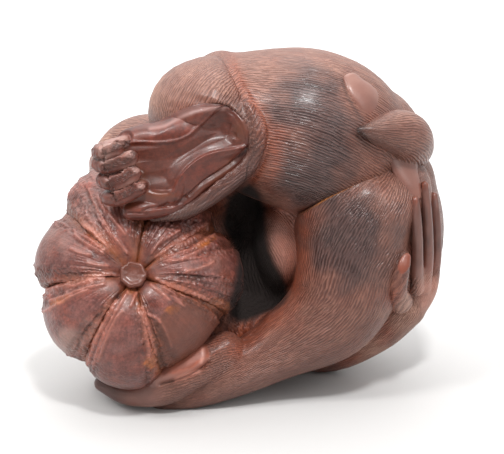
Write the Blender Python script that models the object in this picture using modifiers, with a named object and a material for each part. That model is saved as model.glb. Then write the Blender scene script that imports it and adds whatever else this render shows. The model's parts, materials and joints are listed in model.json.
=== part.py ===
"""Okimono of a monkey rolled into a ball round a pumpkin, carved from one block of wood.

The carving is one solid. Its free form is given in hundredths of the overall length: +X runs to
the rump, -Y towards the side with the pumpkin's face, +Z up. It rests on flats cut on its underside.
"""

import math

import bmesh
import bpy
import numpy as np
from mathutils import Matrix, Vector

# The overall length in metres. All that follows is a share of it.
LENGTH = 0.060
FLAT_HEIGHT = 0.33
SOFT_GRAIN = LENGTH / 85
FINE_GRAIN = LENGTH / 200
TRIANGLES = 9500
WOOD_COLOUR = (0.20, 0.065, 0.035, 1.0)
WOOD_ROUGHNESS = 0.35

NAME = "monkey_with_pumpkin"
RING_SIDES = 24
DOME_RINGS = 5
STEPS_PER_STATION = 6
SOFTENING = 12
TOWARD_VIEW = Vector((0, -0.951, 0.309))

# The trunk and the limbs: stations of x, y, z and radius, or half width and half height.

TRUNK = [(31, 9, 42, 19), (20, 17, 37, 21.5), (6, 21, 27, 22), (-8, 21, 31, 20), (-14, 18, 44, 13)]
RUMP = ((29.6, 8, 38), (21, 19, 25))
BELLY = ((9.6, 3, 36), (6.9, 9, 11.6))
HIP = ((30.4, 9, 49), (18, 15, 13))
CHEST = ((-3, 16, 48), (12, 12, 10))
LAP = ((-1, 6, 14), (17, 13, 11.5))
UPPER_THIGH = [(27.5, 7, 59, 17), (17.5, 2.5, 64.5, 20), (5, 4, 66.5, 18.3), (-3.5, 8, 67, 15)]
UPPER_SHIN = [(-9, 8, 68, 12.3), (-9.6, 0, 70, 12.5), (-6.5, -6, 70, 10.8), (-1, -9.5, 68.5, 7.5)]
BUTTOCK = ((30.8, -0.5, 43.5), (11.5, 16.5, 13.5), (0.72, 0.05, 0.7))
LOWER_LEG = [(35, -1, 45, 8.5), (29, -4, 38.5, 13), (22.5, -7, 22.5, 12), (9, -10, 13.6, 8.2),
             (-1.4, -12, 8.6, 6.6), (-11.4, -13, 4.6, 5.1), (-19.7, -13, 2.2, 3.7)]
LOWER_FOOT = [(-3, -13, 14.4, 4.8, 4), (-8.5, -14.5, 11.5, 4.8, 4), (-14.5, -15, 8.4, 4.1, 3.8),
              (-20.5, -15, 5, 3.1, 3.3), (-27.8, -13, 2.8, 2.4, 3), (-33.3, -11, 3.4, 2, 2.4)]
LOWER_ARM = [(-6, 22, 24, 9), (-7, 21, 15, 9), (4, 21, 8.5, 8.7), (20.5, 8, 6.2, 6.1),
             (33, 4, 13.2, 6.3), (39.8, 3, 20.5, 6.8)]
UPPER_ARM = [(0, 25, 50, 10), (-17, 35, 38, 7.5), (-31, 21, 29, 5.5), (-35, 12, 27.5, 4.6)]
TAIL = [(41, 7, 58.5, 5), (41.4, 0.8, 61.5, 5.2), (39.8, -4, 64.9, 5.8), (37.2, -7.5, 67.2, 5.4),
        (33.6, -10.5, 68.2, 4.1), (30.6, -12.3, 69.2, 2.5), (27.8, -13, 70, 0.7)]
TAIL_PATCHES = [
    [(25.4, -5.9, 79.9, 1.6, 1), (27.3, -7.3, 77.6, 2.7, 1.4), (29.7, -7.7, 75.2, 3.2, 1.5),
     (32.4, -7.2, 71.5, 3.2, 1.4)],
    [(39.8, -4.2, 60.3, 3.6, 1.3), (40.1, -5, 56.2, 2.7, 1.3), (40.1, -6.3, 52.6, 1.6, 1.2),
     (40, -7.4, 50.4, 0.8, 0.8)],
]
PATCH_FACING = (0.55, -0.58, 0.6)

# The upper foot: its slab, four toes curled over the ball and a big toe like a thumb.

UPPER_FOOT = [(-24.3, -13.3, 58.4, 10.9, 6.5), (-16.8, -13.3, 59.9, 10.7, 7), (-10.3, -12, 63.6, 9.7, 7),
              (-4.9, -11, 65.9, 8.4, 6.5), (-0.3, -10.5, 67.6, 6.3, 5.5)]
UPPER_TOES = [
    [(-26.8, -14, 67.1, 1.6), (-32.5, -17.5, 66.2, 1.7), (-30.6, -21, 67.2, 1.7), (-27.2, -21.5, 68.2, 1.5)],
    [(-26.9, -14, 63.2, 1.6), (-32.6, -17.5, 62.5, 1.7), (-29.8, -21, 63.1, 1.8), (-24.9, -21.5, 64.9, 1.6)],
    [(-26.9, -14, 59.4, 1.6), (-31.6, -17.5, 58.7, 1.7), (-28.8, -21, 59.0, 1.8), (-23.7, -21.5, 61.1, 1.6)],
    [(-26.3, -14, 55.5, 1.6), (-30.8, -17.5, 54.3, 1.6), (-27.5, -21, 55.2, 1.7), (-23.0, -21.5, 57.6, 1.5)],
]
UPPER_BIG_TOE = [(-14.5, -17, 52.7, 2.8), (-18.7, -18.5, 52, 2.4), (-22.8, -19.5, 51.8, 2.4),
                 (-25.4, -19.5, 51.4, 2)]

# Marks on the sole of the upper foot: the hollow's edge, the outer crest and where the bare skin ends.

HOLLOW = [
    (-25.2, -19.5, 67.9), (-18.4, -19.5, 67.9), (-14.9, -19.5, 68.3), (-11.9, -19.5, 69.5),
    (-8.3, -19.5, 73.1), (-4.8, -19.5, 75.9), (-1.9, -19.5, 74.9), (0, -19.5, 73.1), (1.4, -19.5, 69),
    (-2.3, -19.5, 66.2), (-7.4, -19.5, 65), (-11.1, -19.5, 61.9), (-13.9, -19.5, 58.5),
    (-15.6, -19.5, 56.5), (-21.8, -19.5, 56.6), (-22.4, -19.5, 61.4),
]
OUTER_CREST = [(-29.1, -19.5, 70.5), (-25.2, -19.5, 70.9), (-17.2, -19.5, 72.6), (-10.3, -19.5, 75.5),
               (-3.7, -19.5, 76.3)]
SKIN = [
    (-29.8, -19.5, 70.2), (-20.6, -19.5, 72.6), (-10.3, -19.5, 76.3), (-3.7, -19.5, 76.8), (0.9, -19.5, 73.8),
    (2.2, -19.5, 68.3), (-1.2, -19.5, 63.6), (-8.1, -19.5, 58.3), (-14, -19.5, 52.8), (-17.5, -19.5, 51.1),
    (-25.6, -19.5, 50.8), (-33.6, -19.5, 56.6),
]
SOLE_ORIGIN = (-12, -15, 62)
SOLE_ALONG = (-27.2, -4, -9)
HOLLOW_DEPTH = 1.5
CREST_HEIGHT = 0.5
CREST_WIDTH = 0.6

# The hand on the rump, and the hand behind the pumpkin.

RUMP_FINGERS = [
    [(38.8, -6, 24.5, 3), (37.3, -10.8, 28.8, 2.6), (37.6, -12.3, 32.6, 2.2), (38, -11.9, 35.4, 1.9),
     (38.4, -11, 37.2, 1.4)],
    [(42.6, -2.9, 26.8, 2.1), (42.2, -5.7, 34.5, 1.75), (41.8, -6.4, 41.6, 1.6), (41.7, -7.1, 47.2, 1.4),
     (42.1, -6.1, 49.4, 1)],
    [(44.9, -0.5, 26, 2), (45.3, -2.6, 34.4, 1.6), (44.7, -3.4, 41.8, 1.5), (44.2, -3.6, 47.6, 1.4),
     (44.6, -1.4, 51, 1)],
    [(47, 2.2, 25.5, 1.8), (47.6, 1.4, 33.8, 1.5), (47, -0.2, 40.7, 1.4), (46.5, 0.4, 46, 1.3),
     (46.5, 1.8, 48.6, 1)],
    [(47.6, 5.8, 27, 1.6), (48.5, 4.8, 33, 1.3), (48.7, 3.8, 36.7, 1.3), (48.4, 2.8, 40, 1)],
]
RUMP_PALM = [(40, 3, 20, 6.5, 5.5), (43.2, 1.7, 27, 5.6, 3)]
PUMPKIN_FINGERS = [
    [(-36, 6.5, 24.5 + 2.4 * k, 2), (-41, 3.4, 25.3 + 2.9 * k, 1.8), (-44.4, -0.4, 26.5 + 3.1 * k, 1.4)]
    for k in (-1, 0, 1, 2)
]
PUMPKIN_PALM = [(-33, 15, 28, 5, 4), (-37, 7.5, 26.5, 5.5, 3.2)]

# The head: balls for skull, cheeks, muzzle, chin, eyes and nostrils, then rolls for the brow and the
# nose, in shares of its radius to one side, forward and up.

HEAD_CENTRE = (-22.8, 14, 50.5)
HEAD_RADIUS = 15.2
HEAD_FORWARD = (-0.72, 0.68, -0.1)
HEAD_UP = (-0.1, 0.1, 0.99)
HEAD_BALLS = [
    ((0, 0, 0), (1, 1, 1)),
    ((0, 0.62, -0.2), (0.6, 0.42, 0.62)),
    ((0, 0.86, -0.46), (0.42, 0.36, 0.3)),
    ((0, 0.74, -0.68), (0.32, 0.3, 0.2)),
    ((0.27, 0.93, 0.05), (0.14, 0.12, 0.11)),
    ((-0.27, 0.93, 0.05), (0.14, 0.12, 0.11)),
    ((0, 1.16, -0.26), (0.13, 0.1, 0.08)),
]
HEAD_ROLLS = [
    [(-0.56, 0.78, 0.1, 0.06), (-0.3, 0.98, 0.24, 0.09), (0, 1.02, 0.2, 0.08), (0.3, 0.98, 0.24, 0.09),
     (0.56, 0.78, 0.1, 0.06)],
    [(0, 1.0, 0.18, 0.09), (0, 1.06, -0.05, 0.08), (0, 1.14, -0.22, 0.09)],
]
EAR = [(1.0, -0.02, 0.28, 0.1), (1.12, -0.16, 0.2, 0.09), (1.14, -0.2, -0.02, 0.08),
       (1.04, -0.06, -0.22, 0.08)]

# The pumpkin, a flattened ball with seven lobes and a stem disc.

PUMPKIN_CENTRE = (-24.4, -10.5, 29.9)
PUMPKIN_AXIS = (-0.03, -0.87, 0.49)
PUMPKIN_RADIUS = 25.2
PUMPKIN_HALF_DEPTH = 18
PUMPKIN_GROOVE_TURNS = (36, 78, 135, 183, 236, 284, 342)
PUMPKIN_LOBE_REACH = (1, 1.24, 1.05, 0.97, 1, 0.98, 1)
PUMPKIN_GROOVE_DEPTH = 0.17
PUMPKIN_GROOVE_START = 0.15
PUMPKIN_FACE_DEPTH = 0.7
PUMPKIN_DIMPLE = 0.25
PUMPKIN_DIMPLE_WIDTH = 0.25
STEM_RADIUS = 2.7
STEM_LENGTH = 6
STEM_REACH = 0.9


def spot(place):
    """A place on the figure, in hundredths of its length, as a point in metres."""
    return Vector(place[:3]) * LENGTH / 100


def share(value):
    return value * LENGTH / 100


def spline(values, steps=STEPS_PER_STATION):
    """Rows of numbers, made smooth by a Catmull-Rom curve through them."""
    rows = np.array(values, float)
    padded = np.vstack([2 * rows[0] - rows[1], rows, 2 * rows[-1] - rows[-2]])
    smooth = []
    for i in range(1, len(padded) - 2):
        a, b, c, d = padded[i - 1 : i + 3]
        for t in np.linspace(0, 1, steps, endpoint=False):
            bend = 2 * a - 5 * b + 4 * c - d
            smooth.append(0.5 * (2 * b + (c - a) * t + bend * t**2 + (3 * b - a - 3 * c + d) * t**3))
    smooth.append(rows[-1])
    return np.array(smooth)


def sections_of(stations):
    """Centres, tangents and radii along a limb, with a dome of rings at each end."""
    path = spline([s + s[3:4] if len(s) == 4 else s for s in map(tuple, stations)])
    centres = path[:, :3]
    tangents = np.gradient(centres, axis=0)
    tangents /= np.linalg.norm(tangents, axis=1)[:, None]
    domes = []
    for end, outward in ((0, -1), (-1, 1)):
        reach = min(path[end, 3:5])
        leans = [math.pi / 2 * (1 - (k + 0.35) / DOME_RINGS) for k in range(DOME_RINGS)]
        domes.append([
            (centres[end] + outward * tangents[end] * reach * math.sin(lean), tangents[end],
             path[end, 3:5] * math.cos(lean))
            for lean in leans
        ])
    return domes[0] + list(zip(centres, tangents, path[:, 3:5])) + domes[1][::-1]


def limb(stations, facing=(0, 0, 1)):
    """A tapered limb with round ends. Its half height is measured nearest to the facing direction."""
    bm = bmesh.new()
    loops = []
    for centre, tangent, (half_width, half_height) in sections_of(stations):
        along = Vector(tangent)
        side = along.cross(Vector(facing)).normalized()
        top = side.cross(along)
        loops.append([
            bm.verts.new(spot(centre) + side * share(half_width) * math.cos(turn)
                         + top * share(half_height) * math.sin(turn))
            for turn in (2 * math.pi * k / RING_SIDES for k in range(RING_SIDES))
        ])
    for low, high in zip(loops, loops[1:]):
        for k in range(RING_SIDES):
            bm.faces.new((low[k - 1], low[k], high[k], high[k - 1]))
    bm.faces.new(loops[0][::-1])
    bm.faces.new(loops[-1])
    bmesh.ops.recalc_face_normals(bm, faces=bm.faces)
    return bm


def turned(forward, up):
    """A rotation whose Y axis runs along forward and whose Z axis is nearest to up."""
    y = Vector(forward).normalized()
    x = y.cross(Vector(up)).normalized()
    return Matrix((x, y, x.cross(y))).transposed().to_4x4()


def ellipsoid(centre, radii, forward=(0, 1, 0), up=(0, 0, 1)):
    bm = bmesh.new()
    bmesh.ops.create_uvsphere(bm, u_segments=40, v_segments=24, radius=1)
    size = Matrix.Diagonal((*[share(r) for r in radii], 1))
    bm.transform(Matrix.Translation(spot(centre)) @ turned(forward, up) @ size)
    return bm


def object_of(name, bms):
    """One object that holds all the given shapes, still overlapping."""
    mesh = bpy.data.meshes.new(name)
    whole = bmesh.new()
    for bm in bms:
        bm.to_mesh(mesh)
        bm.free()
        whole.from_mesh(mesh)
    whole.to_mesh(mesh)
    whole.free()
    obj = bpy.data.objects.new(name, mesh)
    bpy.context.scene.collection.objects.link(obj)
    return obj


def apply_modifiers(obj):
    """The object's evaluated mesh in place of its own, with no modifier left."""
    graph = bpy.context.evaluated_depsgraph_get()
    mesh = bpy.data.meshes.new_from_object(obj.evaluated_get(graph))
    obj.modifiers.clear()
    obj.data = mesh


def melt(name, bms, grain, soften):
    """The shapes run together into one skin by a voxel remesh, then smoothed."""
    obj = object_of(name, bms)
    remesh = obj.modifiers.new("one skin", "REMESH")
    remesh.mode = "VOXEL"
    remesh.voxel_size = grain
    smooth = obj.modifiers.new("soften", "SMOOTH")
    smooth.factor = 0.5
    smooth.iterations = soften
    apply_modifiers(obj)
    return obj


def melted(name, bms):
    """A soft form made of several shapes, ready to be run together with the rest."""
    obj = melt(name, bms, SOFT_GRAIN, SOFTENING)
    bm = bmesh.new()
    bm.from_mesh(obj.data)
    bpy.data.objects.remove(obj)
    return bm


def lobe_profile(turn):
    """For a turn about the pumpkin's axis: 0 in a groove and 1 on a lobe's back, and the lobe's reach."""
    first = PUMPKIN_GROOVE_TURNS[0]
    turn = (turn - first) % 360 + first
    edges = PUMPKIN_GROOVE_TURNS + (first + 360,)
    for low, high, reach in zip(edges, edges[1:], PUMPKIN_LOBE_REACH):
        if low <= turn <= high:
            t = (turn - low) / (high - low)
            arch = 4 * t * (1 - t)
            return math.sqrt(arch), 1 + (reach - 1) * arch
    return 1.0, 1.0


def pumpkin():
    bm = bmesh.new()
    bmesh.ops.create_uvsphere(bm, u_segments=210, v_segments=64, radius=1)
    for vert in bm.verts:
        x, y, z = vert.co
        flat = math.hypot(x, y)
        bulge, reach = lobe_profile(math.degrees(math.atan2(y, x)))
        groove = PUMPKIN_GROOVE_DEPTH * (1 - bulge) * min(1, flat / PUMPKIN_GROOVE_START)
        dimple = PUMPKIN_DIMPLE * math.exp(-((flat / PUMPKIN_DIMPLE_WIDTH) ** 2))
        spread = share(PUMPKIN_RADIUS) * (1 - groove) * reach
        depth = share(PUMPKIN_HALF_DEPTH) * (1 - dimple) * (1 - PUMPKIN_FACE_DEPTH * groove)
        vert.co = (x * spread, y * spread, z * depth)
    toward = Vector(PUMPKIN_AXIS).normalized()
    right = (Vector((1, 0, 0)) - toward * toward.x).normalized()
    frame = Matrix((right, toward.cross(right), toward)).transposed().to_4x4()
    bm.transform(Matrix.Translation(spot(PUMPKIN_CENTRE)) @ frame)
    return bm


def stem():
    """The round disc at the middle of the pumpkin's face, sunk a little below the lobes."""
    bm = bmesh.new()
    bmesh.ops.create_cone(bm, cap_ends=True, segments=RING_SIDES, radius1=share(STEM_RADIUS),
                          radius2=share(STEM_RADIUS * 0.9), depth=share(STEM_LENGTH))
    toward = Vector(PUMPKIN_AXIS).normalized()
    middle = PUMPKIN_HALF_DEPTH * STEM_REACH - STEM_LENGTH / 2
    place = Matrix.Translation(spot(Vector(PUMPKIN_CENTRE) + toward * middle))
    bm.transform(place @ toward.to_track_quat("Z", "Y").to_matrix().to_4x4())
    return bm


def head():
    frame = turned(HEAD_FORWARD, HEAD_UP)

    def place(share_of_radius):
        right, forward, up = share_of_radius
        return Vector(HEAD_CENTRE) + frame.to_3x3() @ Vector((-right, forward, up)) * HEAD_RADIUS

    balls = [
        ellipsoid(place(centre), [r * HEAD_RADIUS for r in radii], HEAD_FORWARD, HEAD_UP)
        for centre, radii in HEAD_BALLS
    ]
    other_ear = [(-side, forward, up, radius) for side, forward, up, radius in EAR]
    rolls = [
        limb([(*place(row[:3]), row[3] * HEAD_RADIUS) for row in roll], facing=HEAD_UP)
        for roll in HEAD_ROLLS + [EAR, other_ear]
    ]
    return balls + rolls


def upper_foot():
    flat = [limb(UPPER_FOOT, facing=TOWARD_VIEW), limb(UPPER_BIG_TOE, facing=TOWARD_VIEW)]
    return flat + [limb(toe, facing=(0, 0.309, 0.951)) for toe in UPPER_TOES]


def hands():
    fingers = [limb(finger, facing=(0.7, -0.7, 0)) for finger in RUMP_FINGERS + PUMPKIN_FINGERS]
    return fingers + [limb(RUMP_PALM, facing=(0.6, -0.8, 0)), limb(PUMPKIN_PALM, facing=(-0.8, 0.4, 0))]


def monkey():
    masses = [ellipsoid(*ball) for ball in (RUMP, HIP, CHEST, LAP)]
    trunk = melted("trunk", [limb(TRUNK), limb(UPPER_THIGH)] + masses)
    leg = melted("leg", [limb(LOWER_LEG), ellipsoid(*BUTTOCK)])
    return [
        trunk,
        leg,
        ellipsoid(*BELLY),
        limb(UPPER_SHIN),
        limb(LOWER_FOOT, facing=TOWARD_VIEW),
        limb(LOWER_ARM),
        limb(UPPER_ARM, facing=(0, 0.3, 1)),
        limb(TAIL),
        *[limb(patch, facing=PATCH_FACING) for patch in TAIL_PATCHES],
        *head(),
        *upper_foot(),
        *hands(),
    ]


def nearest_on(line, points):
    """Distances from flat points to a line of points, negative on its right-hand side."""
    best = np.full(len(points), np.inf)
    signed = np.zeros(len(points))
    for a, b in zip(line, line[1:]):
        t = np.clip((points - a) @ (b - a) / ((b - a) @ (b - a)), 0, 1)
        off = points - (a + t[:, None] * (b - a))
        distance = np.hypot(off[:, 0], off[:, 1])
        closer = distance < best
        turn = (b - a)[0] * off[:, 1] - (b - a)[1] * off[:, 0]
        best = np.where(closer, distance, best)
        signed = np.where(closer, np.sign(turn) * distance, signed)
    return signed


def ease(values, low, high):
    t = np.clip((values - low) / (high - low), 0, 1)
    return t * t * (3 - 2 * t)


def sole_relief(places, normals):
    """How far the skin of the sole lies out from the plain slab of the foot, in hundredths."""
    frame = np.array(turned(SOLE_ALONG, TOWARD_VIEW).to_3x3())

    def flat(points):
        return ((np.array(points) - SOLE_ORIGIN) @ frame)[:, :2]

    def inside(points):
        outline = flat(spline(points + points[:1]))
        off = nearest_on(outline, ab)
        return off * np.sign(nearest_on(outline, flat(points).mean(axis=0)[None]))

    ab = flat(places)
    height = (places - SOLE_ORIGIN) @ frame[:, 2]
    faces_out = ease(height, -1, 1.5) * ease(normals @ frame[:, 2], 0.1, 0.5)
    hollow = inside(HOLLOW)
    crest = np.exp(-(((hollow + CREST_WIDTH) / CREST_WIDTH) ** 2))
    crest += np.exp(-((nearest_on(flat(spline(OUTER_CREST)), ab) / CREST_WIDTH) ** 2))
    on_skin = ease(inside(SKIN), -0.3, 0.3)
    return faces_out * on_skin * (CREST_HEIGHT * crest - HOLLOW_DEPTH * ease(hollow, -0.2, 0.7))


def carve_relief(obj):
    """Moves the skin's points along their normals to carve the sole."""
    mesh = obj.data
    count = len(mesh.vertices)
    points = np.empty(count * 3)
    normals = np.empty(count * 3)
    mesh.vertices.foreach_get("co", points)
    mesh.vertices.foreach_get("normal", normals)
    points, normals = points.reshape(-1, 3), normals.reshape(-1, 3)
    depth = sole_relief(points / share(1), normals) * share(1)
    points += normals * depth[:, None]
    mesh.vertices.foreach_set("co", points.ravel())
    mesh.update()


def carving():
    """The whole carving as one skin, coarse enough for a solid and stood on its flats."""
    obj = melt(NAME, monkey() + [pumpkin(), stem()], FINE_GRAIN, 2)
    carve_relief(obj)
    thin = obj.modifiers.new("fewer triangles", "DECIMATE")
    thin.ratio = TRIANGLES / (2 * len(obj.data.polygons))
    thin.use_collapse_triangulate = True
    apply_modifiers(obj)
    stand(obj)
    return obj


def stand(obj):
    """Cuts the flats that the carving rests on, then moves it to stand centred on the origin."""
    low, high = bounds(obj)
    reach = 2 * (high - low)
    bm = bmesh.new()
    bmesh.ops.create_cube(bm, size=1)
    bm.transform(Matrix.Translation((0, 0, share(FLAT_HEIGHT) - reach.z / 2)) @ Matrix.Diagonal((*reach, 1)))
    ground = object_of("ground", [bm])
    cut = obj.modifiers.new("flats", "BOOLEAN")
    cut.operation = "DIFFERENCE"
    cut.solver = "EXACT"
    cut.object = ground
    apply_modifiers(obj)
    bpy.data.objects.remove(ground)
    low, high = bounds(obj)
    obj.data.transform(Matrix.Translation((-(low.x + high.x) / 2, -(low.y + high.y) / 2, -low.z)))


def bounds(obj):
    points = np.empty(3 * len(obj.data.vertices))
    obj.data.vertices.foreach_get("co", points)
    points = points.reshape(-1, 3)
    return Vector(points.min(axis=0)), Vector(points.max(axis=0))


def wood():
    material = bpy.data.materials.new("stained wood")
    material.use_nodes = True
    shader = material.node_tree.nodes["Principled BSDF"]
    shader.inputs["Base Color"].default_value = WOOD_COLOUR
    shader.inputs["Roughness"].default_value = WOOD_ROUGHNESS
    return material


def main():
    for obj in list(bpy.data.objects):
        bpy.data.objects.remove(obj)
    okimono = carving()
    okimono.data.materials.append(wood())


main()
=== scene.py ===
"""Looks of the okimono: a monkey rolled into a ball round a pumpkin, carved from dark stained wood.

The free form starts from the solid's figures, in hundredths of the overall length: +X runs to the
rump, -Y towards the side with the pumpkin's face, +Z up. Those of the lower leg and foot, the
buttock, the tail and its pads, the upper toes, the fingers on the rump, and some lobes and one groove
of the pumpkin were moved later, for the photograph's view. The form is cut into a few closed pieces,
each with finer carving than the solid: strands of fur, the lines of the soles and fingers, the
pumpkin's wrinkles. Marks that show on the front are drawn as lines in the picture's own pixels, and
lie on the carving wherever the camera's rays through them meet it.
"""

import itertools
import json
import math

import bmesh
import bpy
import numpy as np
from mathutils import Matrix, Vector
from mathutils.bvhtree import BVHTree
from mathutils.kdtree import KDTree

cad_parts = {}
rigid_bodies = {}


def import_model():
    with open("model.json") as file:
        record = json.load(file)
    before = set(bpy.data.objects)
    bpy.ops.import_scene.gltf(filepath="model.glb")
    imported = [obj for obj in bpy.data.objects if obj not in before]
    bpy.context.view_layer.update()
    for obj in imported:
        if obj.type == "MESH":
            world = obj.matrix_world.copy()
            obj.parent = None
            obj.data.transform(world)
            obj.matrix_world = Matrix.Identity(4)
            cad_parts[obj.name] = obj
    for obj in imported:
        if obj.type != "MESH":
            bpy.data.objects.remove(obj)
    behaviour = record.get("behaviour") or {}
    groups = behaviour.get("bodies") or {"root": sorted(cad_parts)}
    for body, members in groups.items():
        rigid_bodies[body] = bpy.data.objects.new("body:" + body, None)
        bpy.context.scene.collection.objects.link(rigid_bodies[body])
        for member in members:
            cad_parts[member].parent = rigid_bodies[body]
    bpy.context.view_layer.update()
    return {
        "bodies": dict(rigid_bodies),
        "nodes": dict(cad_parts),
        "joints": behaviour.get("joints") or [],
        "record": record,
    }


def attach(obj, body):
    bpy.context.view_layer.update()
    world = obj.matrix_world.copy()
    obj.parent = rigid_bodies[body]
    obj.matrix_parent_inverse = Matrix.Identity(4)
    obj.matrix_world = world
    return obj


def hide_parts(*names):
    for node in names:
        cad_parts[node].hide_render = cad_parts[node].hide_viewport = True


NODE = "monkey_with_pumpkin"
LENGTH = 0.060
UNIT = LENGTH / 100
PLACE = np.array([-0.31, -6.27, -0.33])
SOFT_GRAIN = LENGTH / 85
RING_SIDES = 24
DOME_RINGS = 5
STEPS_PER_STATION = 6
STEPS_PER_LINE = 3
SOFTENING = 12
LEG_SOFTENING = 30

VOXELS = {
    "trunk_and_thigh": (120, 176),
    "lower_leg": (150, 240),
    "tail": (200, 320),
    "lower_arm": (170, 280),
    "head_and_arm": (150, 220),
    "upper_foot": (300, 440),
    "pumpkin_stem": (600, 600),
}
PUMPKIN_MESH = ((300, 130), (500, 190))

# The camera: where it looks, its elevation, distance and focal length in the picture's pixels.

TARGET = np.array([2.7, 0.0, 41.3])
ELEVATION = math.radians(18)
DISTANCE = 0.26
LENS = 126.8
SENSOR = 36
PICTURE = (504, 454)
FOCAL = LENS / SENSOR * PICTURE[0]
AHEAD = np.array([0, math.cos(ELEVATION), -math.sin(ELEVATION)])
RIGHT = np.array([1.0, 0, 0])
UP = np.array([0, math.sin(ELEVATION), math.cos(ELEVATION)])
EYE = TARGET - AHEAD * DISTANCE / UNIT
TOWARD_VIEW = tuple(-AHEAD)

# The trunk and the limbs: stations of x, y, z and radius, or half width and half height.
# Masses have a centre and three radii, and may have a forward direction.

TRUNK = [(31, 9, 42, 19), (20, 17, 37, 21.5), (6, 21, 27, 22), (-8, 21, 31, 20), (-14, 18, 44, 13)]
RUMP = ((29.6, 8, 38), (21, 19, 25))
BELLY = ((9.6, 3, 36), (6.9, 9, 11.6))
HIP = ((30.4, 9, 49), (18, 15, 13))
CHEST = ((-3, 16, 48), (12, 12, 10))
LAP = ((-1, 6, 14), (17, 13, 11.5))
UPPER_THIGH = [(27.5, 7, 59, 17), (17.5, 2.5, 64.5, 20), (5, 4, 66.5, 18.3), (-3.5, 8, 67, 15)]
UPPER_SHIN = [(-9, 8, 68, 12.3), (-9.6, 0, 70, 12.5), (-6.5, -6, 70, 10.8), (-1, -9.5, 68.5, 7.5)]
BUTTOCK = ((31, -1, 46.6), (11.5, 17.2, 13.8), (0.76, 0.05, 0.65))
LOWER_LEG = [(35, -1, 45, 8.5), (29, -4.6, 38.5, 13.4), (22.5, -7.2, 22.5, 12.2), (9, -10, 13.6, 8.2),
             (-1.4, -12.6, 8.6, 6.6), (-11.4, -14.4, 4.6, 5.1), (-19.7, -14.6, 2.2, 3.7)]
LEG_TOP = [(36, -4.6, 53.5, 5.5, 4.5), (33.9, -7.6, 51, 9.5, 6.6), (29.7, -9.4, 48, 12, 7.2),
           (24.5, -9.4, 45.2, 12, 7.2), (20.5, -6.3, 41.5, 10, 6.5), (17.5, -1.4, 38.2, 7.5, 5)]
LOWER_FOOT = [(-3, -13.8, 14.6, 4.8, 4), (-8.5, -16, 12.2, 5, 4), (-14.5, -17.8, 9.4, 4.9, 4),
              (-19.2, -18.2, 6.8, 4.7, 3.8), (-23.4, -17, 4.4, 3.2, 3.4), (-28.6, -14.8, 3.6, 2.5, 3),
              (-33.8, -12.2, 5.2, 2, 2.4)]
LOWER_ARM = [(-6, 22, 24, 9), (-7, 21, 15, 9), (4, 21, 8.5, 8.7), (20.5, 8, 6.2, 6.1),
             (33, 4, 13.2, 6.3), (39.8, 3, 20.5, 6.8)]
UPPER_ARM = [(0, 25, 50, 10), (-17, 35, 38, 7.5), (-31, 21, 29, 5.5), (-35, 12, 27.5, 4.6)]
TAIL = [(41, 7, 58.5, 5), (41.4, 0.8, 61.5, 5.2), (39.8, -4, 64.9, 5.8), (37.2, -7.5, 67.2, 5.4),
        (33.6, -11.5, 68.4, 4.1), (30.6, -14.2, 69.2, 2.5), (27.4, -15.6, 70, 0.7)]
TAIL_PATCHES = [
    [(25.4, -5.9, 79.9, 1.9, 1), (27.2, -7.3, 77.5, 3.2, 1.4), (29.3, -7.7, 75, 3.9, 1.5),
     (31.6, -7.2, 71.3, 4.2, 1.4)],
    [(38, -4.6, 60.5, 4.2, 1.4), (39, -6, 57, 3.5, 1.6), (40.3, -7.2, 53.8, 2.5, 1.6),
     (41.1, -7.9, 51.4, 1.5, 1.4)],
]
PATCH_FACING = (0.55, -0.58, 0.6)
PATCH_LIFT = 0.45
PATCH_GROWTH = 0.5

UPPER_FOOT = [(-24.3, -13.3, 58.4, 10.9, 6.5), (-16.8, -13.3, 59.9, 10.7, 7), (-10.3, -12, 63.6, 9.7, 7),
              (-4.9, -11, 65.9, 8.4, 6.5), (-0.3, -10.5, 67.6, 6.3, 5.5)]
SOLE_RIM = [(1.8, -12.6, 74.5, 1.4, 2), (3.6, -13.8, 71.4, 1.9, 2.6), (4.1, -14.6, 67.8, 2.1, 3),
            (3.2, -13.8, 63.7, 2.1, 3), (0.6, -14.4, 60.4, 2.1, 3), (-2.9, -15.4, 57.3, 2.1, 3),
            (-6.8, -16.6, 54.3, 2, 3), (-10.3, -17.6, 52, 1.8, 2.8), (-13.3, -18.2, 50.6, 1.5, 2.2),
            (-17, -18.4, 49.7, 1.1, 1.8), (-20.5, -18.6, 49.3, 0.7, 1.2)]
UPPER_TOES = [
    [(-26.8, -14, 66.5, 1.6), (-32.3, -17.5, 65.5, 1.7), (-30.9, -21, 66.2, 1.7), (-28.2, -21.5, 66.9, 1.45)],
    [(-26.9, -14, 63.2, 1.6), (-32.6, -17.5, 62.5, 1.7), (-29.8, -21, 63.1, 1.8), (-24.9, -21.5, 64.9, 1.6)],
    [(-26.9, -14, 59.4, 1.6), (-31.6, -17.5, 58.7, 1.7), (-28.8, -21, 59, 1.8), (-24.2, -21.5, 61, 1.55)],
    [(-26.3, -14, 55.5, 1.6), (-30.8, -17.5, 54.3, 1.6), (-27.5, -21, 55.2, 1.7), (-23, -21.5, 57.6, 1.5)],
]
TOE_GROWTH = 0.15
TOE_FACING = (0, 0.309, 0.951)
FOOT_BACK = -4
UPPER_BIG_TOE = [(-14.5, -17, 52.7, 2.8), (-18.7, -18.5, 52, 2.4), (-22.8, -19.5, 51.8, 2.4),
                 (-25.4, -19.5, 51.4, 2)]

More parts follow.
